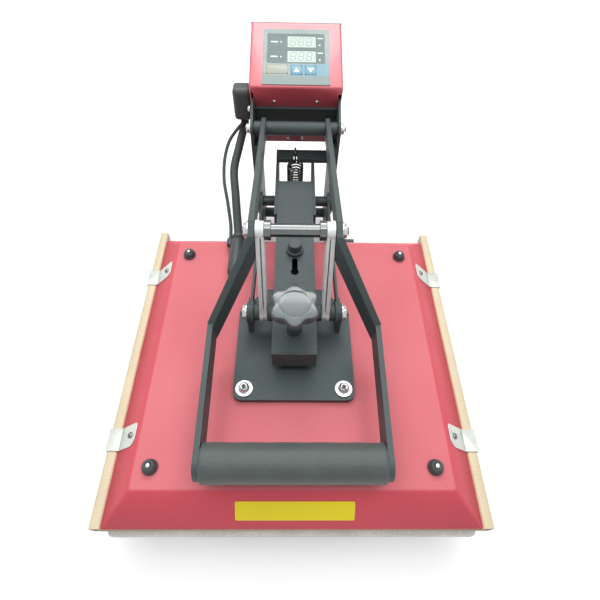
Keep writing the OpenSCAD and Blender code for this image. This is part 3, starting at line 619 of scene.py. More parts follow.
class PRESS_OT_finishes(bpy.types.Operator):
    """Builds the shared effects and every finish of the press"""

    bl_idname = "press.finishes"
    bl_label = "Finishes"

    def paints(self, c):
        sprayed = {"rubbed": (0.80, 0.30, 0.34), "amount": 0.15, "drift": 0.05, "peel": 500.0, "speck": 0.1}
        FINISH.update(
            black_steel=coated("black_coat", c.black, 0.46, (0.30, 0.33, 0.33), 0.55, depth=0.2,
                               Specular_IOR_Level=0.32),
            # the red coats get a paler painted sheen on their upward faces, in place of reflected light
            red_paint=coated("red_coat", c.red, 0.4, dust=0.2, **sprayed, Specular_IOR_Level=0.08),
            box_red=coated("box_red", 0.88 * c.red, 0.34, dust=0.12, **sprayed, Coat_Weight=0.45,
                           Coat_Roughness=0.24),
            yellow_plate=coated("yellow_plate", c.yellow, 0.35, drift=0.05, speck=0.05),
        )

    def mouldings(self, c):
        FINISH.update(
            black_plastic=coated("moulded_black", c.plastic, 0.42, (0.2, 0.21, 0.21), 0.35,
                                 Specular_IOR_Level=0.4),
            knob_plastic=coated("knob_gloss", c.knob, 0.2, (0.62, 0.66, 0.66), 0.5, drift=0.2, peel=260.0,
                                speck=0.2, Coat_Weight=0.3, Coat_Roughness=0.1),
            rocker_plastic=printed("rocker_red", (0.5, 0.02, 0.02), 0.25, 0.05, Coat_Weight=0.4),
            grip_foam=porous("grip_sleeve", c.foam, 0.5, 620.0, Sheen_Weight=0.1, Specular_IOR_Level=0.4),
            foot_rubber=porous("foot_rubber", (0.02, 0.021, 0.021), 0.75, 900.0),
            silicone=porous("silicone_sponge", c.silicone, 0.8, 420.0),
        )

    def metals(self):
        FINISH.update(
            bright_steel=metal("bright_steel", (0.56, 0.57, 0.57), 0.2, (60, 900, 900)),
            zinc_plate=metal("zinc_plate", (0.8, 0.83, 0.82), 0.42, (900, 60, 60), 0.15),
            clip_zinc=metal("clip_zinc", (0.64, 0.67, 0.62), 0.32, (300, 300, 300)),
            platen_metal=metal("platen_cast", (0.6, 0.61, 0.62), 0.42, (40, 900, 900)),
            spring_steel=metal("spring_wire", (0.16, 0.17, 0.17), 0.4, (600, 600, 600)),
            dark_chrome=metal("dark_chrome", (0.17, 0.18, 0.18), 0.12, (15, 500, 500)),
        )

    def films(self, c):
        FINISH.update(
            panel_film=printed("panel_film", c.film, 0.3, 0.06, peel=1500.0, Coat_Weight=0.1),
            panel_field=printed("panel_field", 0.8 * c.film, 0.4, 0.06, speck=0.3, peel=1500.0,
                                Specular_IOR_Level=0.3),
            display_glass=printed("display_window", c.window, 0.5, 0.04, peel=200.0, depth=0.03,
                                  Specular_IOR_Level=0.2),
            digit_bar=printed("digit_bar", (0.24, 0.31, 0.28), 0.3, 0.03),
            key_film=printed("key_film", (0.34, 0.36, 0.3), 0.35, 0.08),
            key_blue=printed("key_blue", c.blue, 0.32, 0.05),
            white_print=printed("white_print", (0.88, 0.9, 0.9), 0.4, 0.03),
            beige_print=printed("beige_print", (0.29, 0.32, 0.27), 0.35, 0.04),
            blue_print=printed("blue_print", 0.9 * c.blue, 0.32, 0.1),
        )

    def execute(self, context):
        EFFECTS.update(coat=coat_effect(), rub=rub_effect(), dust=dust_effect(), brushed=brushed_effect(),
                       weave=weave_effect(), pores=pore_effect())
        c = context.scene.press_colours
        self.paints(c)
        self.mouldings(c)
        self.metals()
        self.films(c)
        FINISH["coated_cloth"] = surface("coated_cloth", c.cloth, "weave", 0.3, 0.3, {"Threads": 220.0},
                                         Sheen_Weight=0.1)
        FINISH["lead_sleeve"] = braided("lead_sleeve", (0.024, 0.031, 0.032))
        return {"FINISHED"}


class PRESS_OT_plates(bpy.types.Operator):
    """Gives every CAD node its finish and takes the sharpness off cut edges"""

    bl_idname = "press.plates"
    bl_label = "Steel and plates"

    # nodes with a rounder edge, as a multiple of the plate edge
    wider = {"beam": 1.6, "mounting_plate": 1.6, "heat_platen": 2.0, "lead_boot": 2.0, "stop_boss": 2.0,
             "rubber_feet": 2.5, "base_rail_left": 3.0, "base_rail_right": 3.0, "cable_housing": 8.0}

    def execute(self, context):
        finish = {s["node"]: s["material_slot"] for s in frame["record"]["subparts"]}
        finish["rod_collars"] = "dark_chrome"
        edge = context.scene.press_sizes.edge
        for name, node in NODES.items():
            wear(node, FINISH[finish[name]])
            pick(node)
            bpy.ops.object.shade_smooth()
            weld = node.modifiers.new("weld", "WELD")
            weld.merge_threshold = WELD
            flats = node.modifiers.new("flats", "DECIMATE")
            flats.decimate_type = "DISSOLVE"
            flats.angle_limit = FLAT
            bevel = node.modifiers.new("edge", "BEVEL")
            bevel.width = edge * self.wider.get(name, 1.0)
            bevel.segments = 2
            bevel.limit_method = "ANGLE"
            bevel.angle_limit = math.radians(25)
            even = node.modifiers.new("even", "WEIGHTED_NORMAL")
            even.weight = 90
        return {"FINISHED"}


class PRESS_OT_cover(bpy.types.Operator):
    """Sloped sheet cover over the heat platen"""

    bl_idname = "press.cover"
    bl_label = "Heat cover"

    lip, inset, corner, skin = 2, 32, 3, 1.5

    def execute(self, context):
        low, high = COVER_LOW, COVER_HIGH
        side, lip = high.x - low.x, self.lip * MM
        mid = (low + high) / 2
        clear()
        bpy.ops.mesh.primitive_plane_add(size=side, location=(mid.x, mid.y, low.z))
        cover = settle(bpy.context.object, "cover_skin")
        edit(cover)
        push_out((0, 0, lip))
        push_out((0, 0, high.z - low.z - lip))
        share = 1 - 2 * self.inset * MM / side
        bpy.ops.transform.resize(value=(share, share, 1), center_override=(mid.x, mid.y, high.z))
        choose(cover, "FACE", lambda f: f.calc_center_median().z < low.z + NEAR)
        bpy.ops.mesh.delete(type="FACE")
        edit(cover)
        outward()

        def on_corner(edge):
            return min(abs(c) for c in (edge.verts[0].co - edge.verts[1].co).xy) > 1e-4

        round_edges(cover, on_corner, self.corner, 4)
        crease = context.scene.press_sizes.crease / MM
        round_edges(cover, lambda e: min(v.co.z for v in e.verts) > high.z - NEAR, crease, 5)
        finish_with(cover, "SOLIDIFY", thickness=self.skin * MM, offset=-1.0)
        done(cover, "arm", "red_paint", "heat_cover", angle=40)
        return {"FINISHED"}


class PRESS_OT_sheet(bpy.types.Operator):
    """Coated cloth under the platen, rolled over along both sides"""

    bl_idname = "press.sheet"
    bl_label = "Protective sheet"

    gap, play, lift = 0.5, 0.2, 0.3
    fold, tuck, sag, cloth, rows = 2.2, 6, 0.35, 0.4, 24

    def execute(self, context):
        low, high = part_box("protective_sheet")
        inner, outer = COVER_HIGH.x + self.gap * MM, high.x - self.play * MM
        under, over = low.z + self.lift * MM, high.z - self.play * MM
        r = self.fold * MM
        part = 0.3 * r
        right = [(inner, under + self.tuck * MM), (inner, over - r), (inner + part, over - part),
                 (inner + r, over), (outer - r, over), (outer - part, over - part), (outer, over - r),
                 (outer, under + r), (outer - part, under + part), (outer - r, under),
                 *[(x * MM, under) for x in (160, 100, 40)]]
        profile = right + [(-x, z) for x, z in reversed(right)]
        sheet = chain("coated_sheet", [Vector((x, low.y, z)) for x, z in profile])
        bpy.ops.mesh.select_all(action="SELECT")
        deep = high.y - low.y
        for _ in range(self.rows):
            bpy.ops.mesh.extrude_edges_move(TRANSFORM_OT_translate={"value": (0, deep / self.rows, 0)})
        leave()
        for v in sheet.data.vertices:
            if abs(v.co.x) > inner - 1e-4:
                along = (v.co.y - low.y) / deep
                sway = math.sin(9 * along + v.co.x * 3) + 0.5 * math.sin(23 * along)
                v.co.z -= self.sag * MM * (1 + sway / 1.5) * (v.co.z - low.z) / (high.z - low.z)
        edit(sheet)
        outward()
        finish_with(sheet, "SOLIDIFY", thickness=self.cloth * MM, offset=0.0)
        done(sheet, "arm", "coated_cloth", "protective_sheet", angle=60)
        return {"FINISHED"}


class PRESS_OT_pad(bpy.types.Operator):
    """Silicone sponge pad on the lower platen"""

    bl_idname = "press.pad"
    bl_label = "Silicone pad"

    corner, edge, swell, side_from = 6, 2.2, 0.7, 150

    def execute(self, context):
        low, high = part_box("silicone_pad")
        clear()
        bpy.ops.mesh.primitive_cube_add(size=1, location=(low + high) / 2)
        bpy.context.object.scale = high - low
        pad = settle(bpy.context.object, "sponge_pad")
        round_edges(pad, lambda e: abs(e.verts[0].co.z - e.verts[1].co.z) > 5 * MM, self.corner, 5)
        soften(pad, self.edge, 4, 50)
        choose(pad, "FACE", lambda f: abs(f.normal.z) < 0.3 and f.calc_area() > 1e-4)
        bpy.ops.mesh.subdivide(number_cuts=3)
        leave()
        for v in pad.data.vertices:
            if abs(v.co.x) > self.side_from * MM:
                share = (v.co.z - low.z) / (high.z - low.z)
                v.co.x -= math.copysign(self.swell * MM * (2 * share - 1) ** 2, v.co.x)
        done(pad, "frame", "silicone", "silicone_pad", angle=50)
        return {"FINISHED"}


class PRESS_OT_knob(bpy.types.Operator):
    """Lobed pressure knob with a raised middle"""

    bl_idname = "press.knob"
    bl_label = "Pressure knob"

    tall, bore, over = 22, 6.2, 1.2
    scallop, sharp, base_share = 5.4, 1.15, 0.7
    # each rise of the head's side, and its width there as a share of the widest
    rises = ((3, 0.79), (6, 0.92), (6, 0.99), (3.5, 1.0), (1.3, 0.99), (0.9, 0.97), (0.4, 0.935), (0.2, 0.88),
             (0.1, 0.7), (0, 0.4))

    def execute(self, context):
        mid, half = extent("pressure_knob")
        lobes, reach = context.scene.press_sizes.knob_lobes, half.y + self.over
        centre = mid + UP * (half.z - self.tall) * MM
        ring = []
        for i in range(24 * lobes):
            a = 2 * math.pi * i / (24 * lobes)
            r = reach - self.scallop * (0.5 - 0.5 * math.cos(lobes * (a - math.pi / 2))) ** self.sharp
            ring.append(centre + Vector((math.cos(a), math.sin(a), 0)) * r * MM)
        head = chain("knob_head", ring)
        fill()
        width = self.base_share
        bpy.ops.transform.resize(value=(width, width, 1), center_override=centre)
        for rise, scale in self.rises:
            push_out((0, 0, rise * MM))
            bpy.ops.transform.resize(value=(scale / width, scale / width, 1), center_override=centre)
            width = scale
        outward()
        foot, lid = mid - UP * half.z * MM, 2 * half.z
        base, bore = lid - self.tall, self.bore
        crown = lathe("knob_crown", [(0, lid - 0.2), (12, lid - 0.2), (15.8, lid - 0.4), (17.2, lid - 0.7),
                                     (17.4, lid - 3), (0, lid - 3)], foot, UP, 48)
        neck = [(8.6, 0), (8.9, 0.6), (8.2, 4), (7.8, base - 8), (8.8, base - 3), (12.5, base + 1)]
        stem = lathe("knob_stem", [(bore, 0), *neck, (bore, base + 1), (bore, 0)], foot, UP, 36)
        done(merge("star_knob", head, crown, stem), "knob", "knob_plastic", "pressure_knob", angle=42)
        return {"FINISHED"}


class PRESS_OT_grip(bpy.types.Operator):
    """Foam sleeve on the handle"""

    bl_idname = "press.grip"
    bl_label = "Grip"

    bore, end, dip, wave, waves = 10.1, 6, 0.45, 0.2, 16

    def execute(self, context):
        mid, size = extent("grip")
        half, r, span = size.x, size.z, 2 * (size.x - self.end)
        body = [(r - self.dip + self.wave * math.sin(i * 1.9), self.end - half + span * i / self.waves)
                for i in range(self.waves + 1)]
        lip = [(r, half - 2.2), (r - 0.8, half - 0.6), (r - 2.4, half), (self.bore, half)]
        profile = [(x, -y) for x, y in reversed(lip)] + body + lip + [(self.bore, -half)]
        done(lathe("foam_grip", profile, mid, ACROSS, 56), "handle", "grip_foam", "grip", angle=50)
        return {"FINISHED"}


def hex_nut(name, face, axis, across, thick):
    """A chamfered hexagon standing on a face."""
    r = across / math.sqrt(3)
    nut = lathe(name, [(0, 0), (r, 0), (r, thick - r * 0.1), (r * 0.88, thick), (0, thick)], face, axis, 6)
    soften(nut, 0.3, 2, 20)
    return nut


def washer(name, face, axis, bore, r, thick):
    return lathe(name, [(bore, 0), (r - 0.2, 0), (r, 0.2), (r, thick - 0.3), (r - 0.3, thick), (bore, thick),
                        (bore, 0)], face, axis, 36)


def bolt_end(name, face, axis, r, out):
    """The threaded tip of a bolt past its nut, with its thread turns."""
    turns, profile = 4, [(0, 0)]
    for i in range(turns):
        profile += [(r, out * i / turns), (r * 0.88, out * (i + 0.5) / turns)]
    profile += [(r, out * 0.94), (r * 0.8, out), (0, out)]
    return lathe(name, profile, face, axis, 28)


class PRESS_OT_shafts(bpy.types.Operator):
    """Cross shafts and pivot bolts with their nuts and washers"""

    bl_idname = "press.shafts"
    bl_label = "Shafts and pivot bolts"

    ring = 1.4
    # name, CAD node, body, shank radius, seat of the washers, width of the nuts
    bars = (
        ("press_pin", "press_shaft", "arm", 7, 56.5, 15.5),
        ("rod_chrome", "cross_rod", "handle", 7, 48, 13.5),
        ("handle_bolt", "handle_pivot_bolt", "frame", 6, 63.6, 12.8),
        ("arm_bolt", "arm_pivot_bolt", "frame", 6, 60, 12.8),
    )

    def bar(self, name, node, body, shank, seat, across):
        """Bar of a shank radius, with a washer, nut and thread at each end past its seat."""
        mid, half = extent(node)
        spots = (-seat, -seat / 2, 0, seat / 2, seat)
        bar = lathe(name + "_bar", [(0, -seat), *[(shank, x) for x in spots], (0, seat)], mid, ACROSS)
        done(bar, body, "dark_chrome", node, slot="bright_steel", angle=35)
        left = half.x - seat - self.ring
        thick = left * 0.72
        parts = []
        for axis in (-ACROSS, ACROSS):
            faces = [mid + axis * x * MM for x in (seat, seat + self.ring, seat + self.ring + thick)]
            parts.append(washer(name + "_washer", faces[0], axis, shank * 0.4, across * 0.72, self.ring))
            parts.append(hex_nut(name + "_nut", faces[1], axis, across, thick))
            parts.append(bolt_end(name + "_tip", faces[2], axis, across * 0.3, left - thick))
        done(merge(name + "_ends", *parts), body, "bright_steel", angle=35)

    def sleeves(self):
        """Short sleeves on the press shaft between the links and the ears."""
        bore, r, edge, link_gap, ear_gap = 7.2, 10.1, 0.6, 0.3, 2.5
        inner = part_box("right_links")[1].x / MM + link_gap
        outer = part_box("right_ear")[0].x / MM - ear_gap
        wall = [(bore, inner), (r - 0.5, inner), (r, inner + edge), (r, outer - edge), (r - 0.5, outer),
                (bore, outer), (bore, inner)]
        sleeve = lathe("pin_sleeve_right", wall, extent("press_shaft")[0], ACROSS)
        shade(sleeve, 35)
        for piece in (sleeve, twin(sleeve, "pin_sleeve_left", FLIP)):
            done(piece, "arm", "black_steel")

    def execute(self, context):
        for row in self.bars:
            self.bar(*row)
        self.sleeves()
        return {"FINISHED"}


class PRESS_OT_plate_bolts(bpy.types.Operator):
    """Button-head bolts and wide washers on the mounting plate"""

    bl_idname = "press.plate_bolts"
    bl_label = "Plate bolts"

    washer_r, washer_t, shank, socket, rear_x = 10, 2, 4, 2.6, 16

    def execute(self, context):
        low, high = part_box("plate_bolts")
        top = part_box("mounting_plate")[1].z
        edge, rear, deep = self.washer_r * MM, self.rear_x * MM, (top - low.z) / MM
        x, front, back = high.x - edge, low.y + edge, high.y - edge
        first = Vector((x, front, top))
        seat = first + UP * self.washer_t * MM
        ring = washer("bolt_washer", first, UP, 4.2, self.washer_r, self.washer_t)
        head = lathe("bolt_head", [(0, 3.4), (self.socket, 3.4), (2.8, 5.8), (3.6, 6), (5.2, 5), (6.2, 3),
                                   (6.5, 0.8), (6.3, 0), (0, 0)], seat, UP, 36)
        r = self.shank
        rod = [(0, 0), (r - 0.4, 0), (r, 0.6), (r, deep), (0, deep)]
        shank = lathe("bolt_shank", rod, (x, front, low.z), UP, 24)
        bolt = merge("plate_bolt", ring, head, shank)
        shade(bolt, 35)
        places = {"front_left": (-x, front), "rear_right": (rear, back), "rear_left": (-rear, back)}
        moves = {k: Matrix.Translation((px - x, py - front, 0)) for k, (px, py) in places.items()}
        for b in corners(bolt, "plate_bolt", moves):
            done(b, "arm", "bright_steel")
        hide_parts("plate_bolts")
        # dark hexagon discs deep in the heads' sockets: painted shade standing in for the shade inside each
        # socket
        r = self.socket - 0.05
        shade_discs = [lathe("socket_shade_disc", [(0, 0.8), (r, 0.8), (r, 0), (0, 0)],
                        (px, py, seat.z + 3.3 * MM), UP, 6) for px, py in ((x, front), *places.values())]
        done(merge("bolt_socket_shade", *shade_discs), "arm", "black_steel")
        return {"FINISHED"}


class PRESS_OT_caps(bpy.types.Operator):
    """Domed black caps over the cover's posts"""

    bl_idname = "press.caps"
    bl_label = "Cover caps"

    rim = 8.5

    def execute(self, context):
        low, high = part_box("cover_caps")
        r, h = self.rim * MM, (high.z - low.z) / MM
        first = Vector((high.x - r, low.y + r, low.z))
        dx, dy = -2 * (high.x - r), high.y - low.y - 2 * r
        moves = {"front_left": (dx, 0, 0), "rear_right": (0, dy, 0), "rear_left": (dx, dy, 0)}
        moves = {k: Matrix.Translation(v) for k, v in moves.items()}
        dome = [(0, h - 4), (3.4, h - 4), (3.6, h - 2.2), (4.4, h - 1.9), (5.4, h - 2.3), (6.8, h - 3.8),
                (7.6, h - 6), (7.8, 2.2), (self.rim, 1.8), (self.rim, 0.5), (8.2, 0), (0, 0)]
        stud = [(0, h - 0.1), (1.6, h - 0.3), (2.5, h - 1), (2.8, h - 2), (2.8, h - 5), (0, h - 5)]
        for stem, profile, steps, finish in (("cover_cap", dome, 40, "black_plastic"),
                                             ("cap_pin", stud, 28, "bright_steel")):
            piece = lathe(stem, profile, first, UP, steps)
            shade(piece, 40)
            for p in corners(piece, stem, moves):
                done(p, "arm", finish)
            if stem == "cover_cap":
                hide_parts("cover_caps")
        return {"FINISHED"}


class PRESS_OT_leads(bpy.types.Operator):
    """Sleeved heater lead and thin sensor lead from the side housing to the cover"""

    bl_idname = "press.leads"
    bl_label = "Leads"

    leave_at, reach_at = Vector((-78, 545, 125.9)), Vector((-82, 366.1, 44))
    beside = 11

    def routes(self):
        """Both leads from their exit in the housing to the boot, in the places that at() takes."""
        start, end = self.leave_at, self.reach_at
        heater = [start, start - Vector((0, 0, 8)), start + Vector((-2, 0, -18)), Vector((-86, 505, 98)),
                  Vector((-92, 470, 84)), Vector((-88, 430, 70)), end + Vector((-2, 26, 7)),
                  end + Vector((0, 8, 0)), end]
        start, end = start + Vector((-2, -self.beside, 0)), end - ACROSS * self.beside
        sensor = [start, start - Vector((0, 0, 6)), start + Vector((-8, -3, -13)), Vector((-101, 514, 102)),
                  Vector((-107, 486, 90)), Vector((-106, 452, 78)), Vector((-99, 418, 66)),
                  end + Vector((-1, 24, 7)), end + Vector((0, 8, 0)), end]
        return heater, sensor

    def boot(self):
        """Capsule on the cover with a collar for the sensor lead."""
        low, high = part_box("lead_boot")
        start = Vector((self.reach_at.x * MM, low.y, (low.z + high.z) / 2))
        r, span = (high.z - low.z) / 2 / MM, (high.y - low.y) / MM
        arc = [math.radians(15 * i) for i in range(7)]
        dome = [(r * math.sin(a), r - r * math.cos(a)) for a in arc]
        tail = [(r, span * 0.5), (r, span - 9), (r * 0.96, span - 6), (r * 0.85, span - 3), (r * 0.7, span)]
        boot = lathe("boot_capsule", [*dome, *tail, (0, span)], start, BACK)
        hump = lathe("sensor_collar", [(0, span - 14), (3.6, span - 13), (4.6, span - 11), (4.8, span - 2),
                                       (4, span), (0, span)], start - ACROSS * self.beside * MM, BACK, 28)
        done(merge("boot_capsule", boot, hump), "arm", "black_plastic", "lead_boot", angle=45)

    def execute(self, context):
        sizes = context.scene.press_sizes
        heater, sensor = self.routes()
        for name, path, thick, node in (("heater_sleeve", heater, sizes.lead, "heater_lead"),
                                        ("sensor_sleeve", sensor, sizes.sensor, "sensor_lead")):
            path = [at(*p) for p in path]
            lead = tube(name, [path[0], *curve_through(path[1:-1], 9), path[-1]], thick / 2, 5)
            shade(lead, 50)
            wear(lead, FINISH["lead_sleeve"])
            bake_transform(lead)
            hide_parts(node)
        self.boot()
        bore = 6.4
        for name, body, face, axis, r in (("gland_housing", "frame", heater[0], -UP, 8.5),
                                          ("gland_boot", "arm", heater[-1], BACK, 9.2)):
            wall = [(bore, -1), (r - 1, -1), (r, 0), (r, 4), (r - 1, 5), (bore, 5.2), (bore, -1)]
            gland = lathe(name, wall, at(*face), axis, 32)
            done(gland, body, "black_plastic", angle=40)
        return {"FINISHED"}


class PRESS_OT_spring(bpy.types.Operator):
    """Coiled lift spring with its two end hooks"""

    bl_idname = "press.spring"
    bl_label = "Lift spring"

    turns, per, ease = 17, 18, 16
    top_at, bottom_at = (0, 501, 90), (0, 536, -66)
    top_hook, bottom_hook, eye = 20, 28, 9.6

    def execute(self, context):
        r = context.scene.press_sizes.wire / 2
        low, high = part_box("lift_spring")
        coil = (high.x - low.x) / 2 - r
        top, bottom = at(*self.top_at), at(*self.bottom_at)
        way = (bottom - top).normalized()
        side = ACROSS.cross(way)
        first, last = top + self.top_hook * MM * way, bottom - self.bottom_hook * MM * way
        steps = self.turns * self.per
        wire = []
        for i in range(steps + 1):
            u = min(1, i / self.ease, (steps - i) / self.ease)
            bend = coil * u * u * (3 - 2 * u)
            a = 2 * math.pi * i / self.per
            wire.append(first.lerp(last, i / steps) + bend * (math.cos(a) * ACROSS + math.sin(a) * side))
        behind, above = BACK * r, UP * r
        hook = [at(0, 513.6, 82) + behind, at(0, 513.6, 86) + behind, at(0, 512.6, 90.5) + behind,
                at(0, 509.6, 90.6) + behind + above, at(0, 506, 90.6) + above, at(0, 502, 90.5),
                top + 5 * MM * way, top + 12 * MM * way]
        arc = [math.radians(a) for a in range(150, 351, 20)]
        loop = [bottom - 22 * MM * way]
        loop += [bottom + (self.eye * MM + r) * (math.cos(a) * BACK + math.sin(a) * UP) for a in arc]
        spring = tube("coil_spring", curve_through(hook, 4) + wire + curve_through(loop, 3), r, 3)
        shade(spring, 60)
        wear(spring, FINISH["spring_steel"])
        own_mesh(spring)
        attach(spring, "frame")
        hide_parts("lift_spring")
        return {"FINISHED"}


class PRESS_OT_clips(bpy.types.Operator):
    """Bent steel clips with pan-head screws that hold the sheet's rolled edges"""

    bl_idname = "press.clips"
    bl_label = "Sheet clips"

    long, thick, drop, flap, screw_down = 26, 1.2, 8, 25.5, 10.5

    def execute(self, context):
        low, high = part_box("sheet_clips")
        span, t = self.long * MM, self.thick * MM
        out, slope = (ACROSS + UP).normalized(), (UP - ACROSS).normalized()
        roll, roll_top = high.x - t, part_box("protective_sheet")[1].z
        rim = Vector((COVER_HIGH.x, 0, COVER_LOW.z + PRESS_OT_cover.lip * MM))
        bend = rim + (UP - ACROSS) * (roll_top - rim.z)
        foot = rim + (UP - ACROSS) * self.flap * MM
        edge = roll_top - self.drop * MM
        outside = bend + (ACROSS * math.tan(math.radians(22.5)) + UP) * t
        outline = [foot, bend, Vector((roll, 0, roll_top)), Vector((roll, 0, edge)),
                   Vector((roll + t, 0, edge)), Vector((roll + t, 0, roll_top + t)), outside, foot + out * t]
        front = BACK * low.y
        clip = slab("sheet_clip", [p + front for p in outline], BACK * span)
        for corner, r in ((foot + front, 9), (foot + front + BACK * span, 3)):
            round_edges(clip, lambda e: all((v.co - corner).length < 1.4 * MM for v in e.verts), r, 6)
        soften(clip, 0.5, 2, 28)
        seat = foot - slope * self.screw_down * MM + out * t + front + BACK * span / 2
        pan = [(0, 1.5), (0.6, 1.5), (0.7, 2.2), (1.6, 2.4), (2.8, 1.9), (3.6, 0.9), (3.7, 0), (0, 0)]
        head = lathe("clip_screw", pan, seat, out, 28)
        move = Matrix.Translation((0, high.y - low.y - span, 0))
        moves = {"rear_right": move, "front_left": FLIP, "rear_left": FLIP @ move}
        for piece, stem, finish in ((clip, "sheet_clip", "clip_zinc"), (head, "clip_screw", "dark_chrome")):
            shade(piece, 40)
            for p in corners(piece, stem, moves):
                done(p, "arm", finish, slot="bright_steel")
        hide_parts("sheet_clips")
        return {"FINISHED"}


BOX_AT, BOX_TILT = (0, 513, 188), 18
BOX_PLACE = Matrix.Translation(at(*BOX_AT)) @ Matrix.Rotation(math.radians(BOX_TILT), 4, "X")
BOX_UP, BOX_OUT = BOX_PLACE.to_3x3() @ BACK, BOX_PLACE.to_3x3() @ UP


def on_box(x, up, out):
    """A point on the control box: along its crease, up its face, out of it."""
    return BOX_PLACE @ Vector((x * MM, up * MM, out * MM))


def rounded(x0, x1, y0, y1, corner, steps):
    """Corner points of a rounded rectangle."""
    points = []
    for cx, cy, turn in ((x1 - corner, y1 - corner, 0), (x0 + corner, y1 - corner, 90),
                         (x0 + corner, y0 + corner, 180), (x1 - corner, y0 + corner, 270)):
        for i in range(steps + 1 if corner else 1):
            a = math.radians(turn + 90 * i / steps)
            points.append((cx + corner * math.cos(a), cy + corner * math.sin(a)))
    return points


def patch(name, area, base, top, corner=0.0):
    """A thin rounded rectangle on the box's face."""
    points = [on_box(x, y, base) for x, y in rounded(*area, corner, 5)]
    return slab(name, points, BOX_OUT * (top - base) * MM)


class PRESS_OT_box(bpy.types.Operator):
    """Folded red shell of the control box with its screws and inlet pins"""

    bl_idname = "press.box"
    bl_label = "Control box"

    half, depth, back = 65, 117, 114.6
    fold, fold_from, cheek_at = 3.2, 80, (-66, 520, 152)
    # profiles of the screw heads
    small_head = [(0, 0.6), (0.6, 0.6), (0.8, 1.3), (1.8, 1.2), (2.6, 0.4), (2.7, -0.3), (0, -0.3)]
    back_head = [(0, 0.8), (0.7, 0.8), (0.9, 1.6), (2.2, 1.4), (3, 0.5), (3.1, -0.2), (0, -0.2)]
    cheek_head = [(0, 1.4), (1.1, 1.4), (1.3, 3.6), (2.6, 3.3), (3.9, 2.2), (4.4, 0.6), (4.3, 0), (0, 0)]

    def shell(self):
        """A copy of the CAD shell with its flat faces whole again and its folds rounded."""
        pick(NODES["control_box"])
        bpy.ops.object.duplicate(linked=False)
        shell = call(bpy.context.object, "box_shell")
        shell.parent = None
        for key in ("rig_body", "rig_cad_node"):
            if key in shell:
                del shell[key]
        shell.modifiers.clear()
        edit(shell)
        bpy.ops.mesh.remove_doubles(threshold=WELD)
        bpy.ops.mesh.dissolve_limited(angle_limit=FLAT)
        leave()
        to_box = BOX_PLACE.inverted()

        def outer_fold(edge):
            a, b = (to_box @ v.co for v in edge.verts)
            mid = (a + b) / 2
            offsets = abs(mid.x) - self.half * MM, mid.z, mid.y, mid.z + self.depth * MM
            return (a - b).length > self.fold_from * MM and sum(abs(d) < NEAR for d in offsets) >= 2

        round_edges(shell, outer_fold, self.fold, 4)
        done(shell, "frame", "box_red", "control_box", slot="red_paint", angle=30)

    def screws(self):
        under = [(-31, -27), (30, -27), (-12, -106), (11, -106)]
        behind = [(-59, -6), (59, -6), (-59, -111), (59, -111)]
        for stem, places, up, profile, axis in (("box_screw_", under, 0, self.small_head, -BOX_UP),
                                                ("back_screw_", behind, self.back, self.back_head, BOX_UP)):
            for letter, (x, out) in zip("abcd", places):
                screw = lathe(stem + letter, profile, on_box(x, up, out), axis, 24)
                done(screw, "frame", "bright_steel", angle=40)

    def inlet(self):
        wide, tall, root, long = 0.9, 2.4, 99.5, 9.5
        pins = []
        for x, out in ((15, -57), (22, -53), (29, -57)):
            sides = (-wide, -tall), (wide, -tall), (wide, tall), (-wide, tall)
            ring = [on_box(x + a, root, out + b) for a, b in sides]
            pins.append(slab("inlet_pin", ring, BOX_UP * long * MM))
            soften(pins[-1], 0.4)
        done(merge("inlet_pins", *pins), "frame", "bright_steel", angle=40)

    def execute(self, context):
        self.shell()
        self.screws()
        self.inlet()
        screw = lathe("cheek_screw", self.cheek_head, at(*self.cheek_at), -ACROSS, 28)
        done(screw, "frame", "bright_steel", angle=40)
        return {"FINISHED"}


# both ends of a digit's bars, as shares of its width and height
BARS = {"a": (0, 1, 1, 1), "b": (1, 0.5, 1, 1), "c": (1, 0, 1, 0.5), "d": (0, 0, 1, 0), "e": (0, 0, 0, 0.5),
        "f": (0, 0.5, 0, 1), "g": (0, 0.5, 1, 0.5)}


def digit(name, x, y):
    """All seven bars of one digit, each a long hexagon lying on the glass."""
    wide, tall, lean, glass = 7, 13.4, 0.12, 0.91
    half, gap, ink = 0.55, 0.35, 0.05
    bars = []
    for key, (x0, y0, x1, y1) in BARS.items():
        a, b = Vector((x0 * wide, y0 * tall, 0)), Vector((x1 * wide, y1 * tall, 0))
        along = (b - a).normalized()
        across = Vector((-along.y, along.x, 0)) * half
        a, b, tip = a + along * gap, b - along * gap, along * half
        ring = [a, a + tip + across, b - tip + across, b, b - tip - across, a + tip - across]
        points = [on_box(x + p.x + lean * p.y, y + p.y, glass) for p in ring]
        bars.append(slab(name + key, points, BOX_OUT * ink * MM))
    return merge(name, *bars)


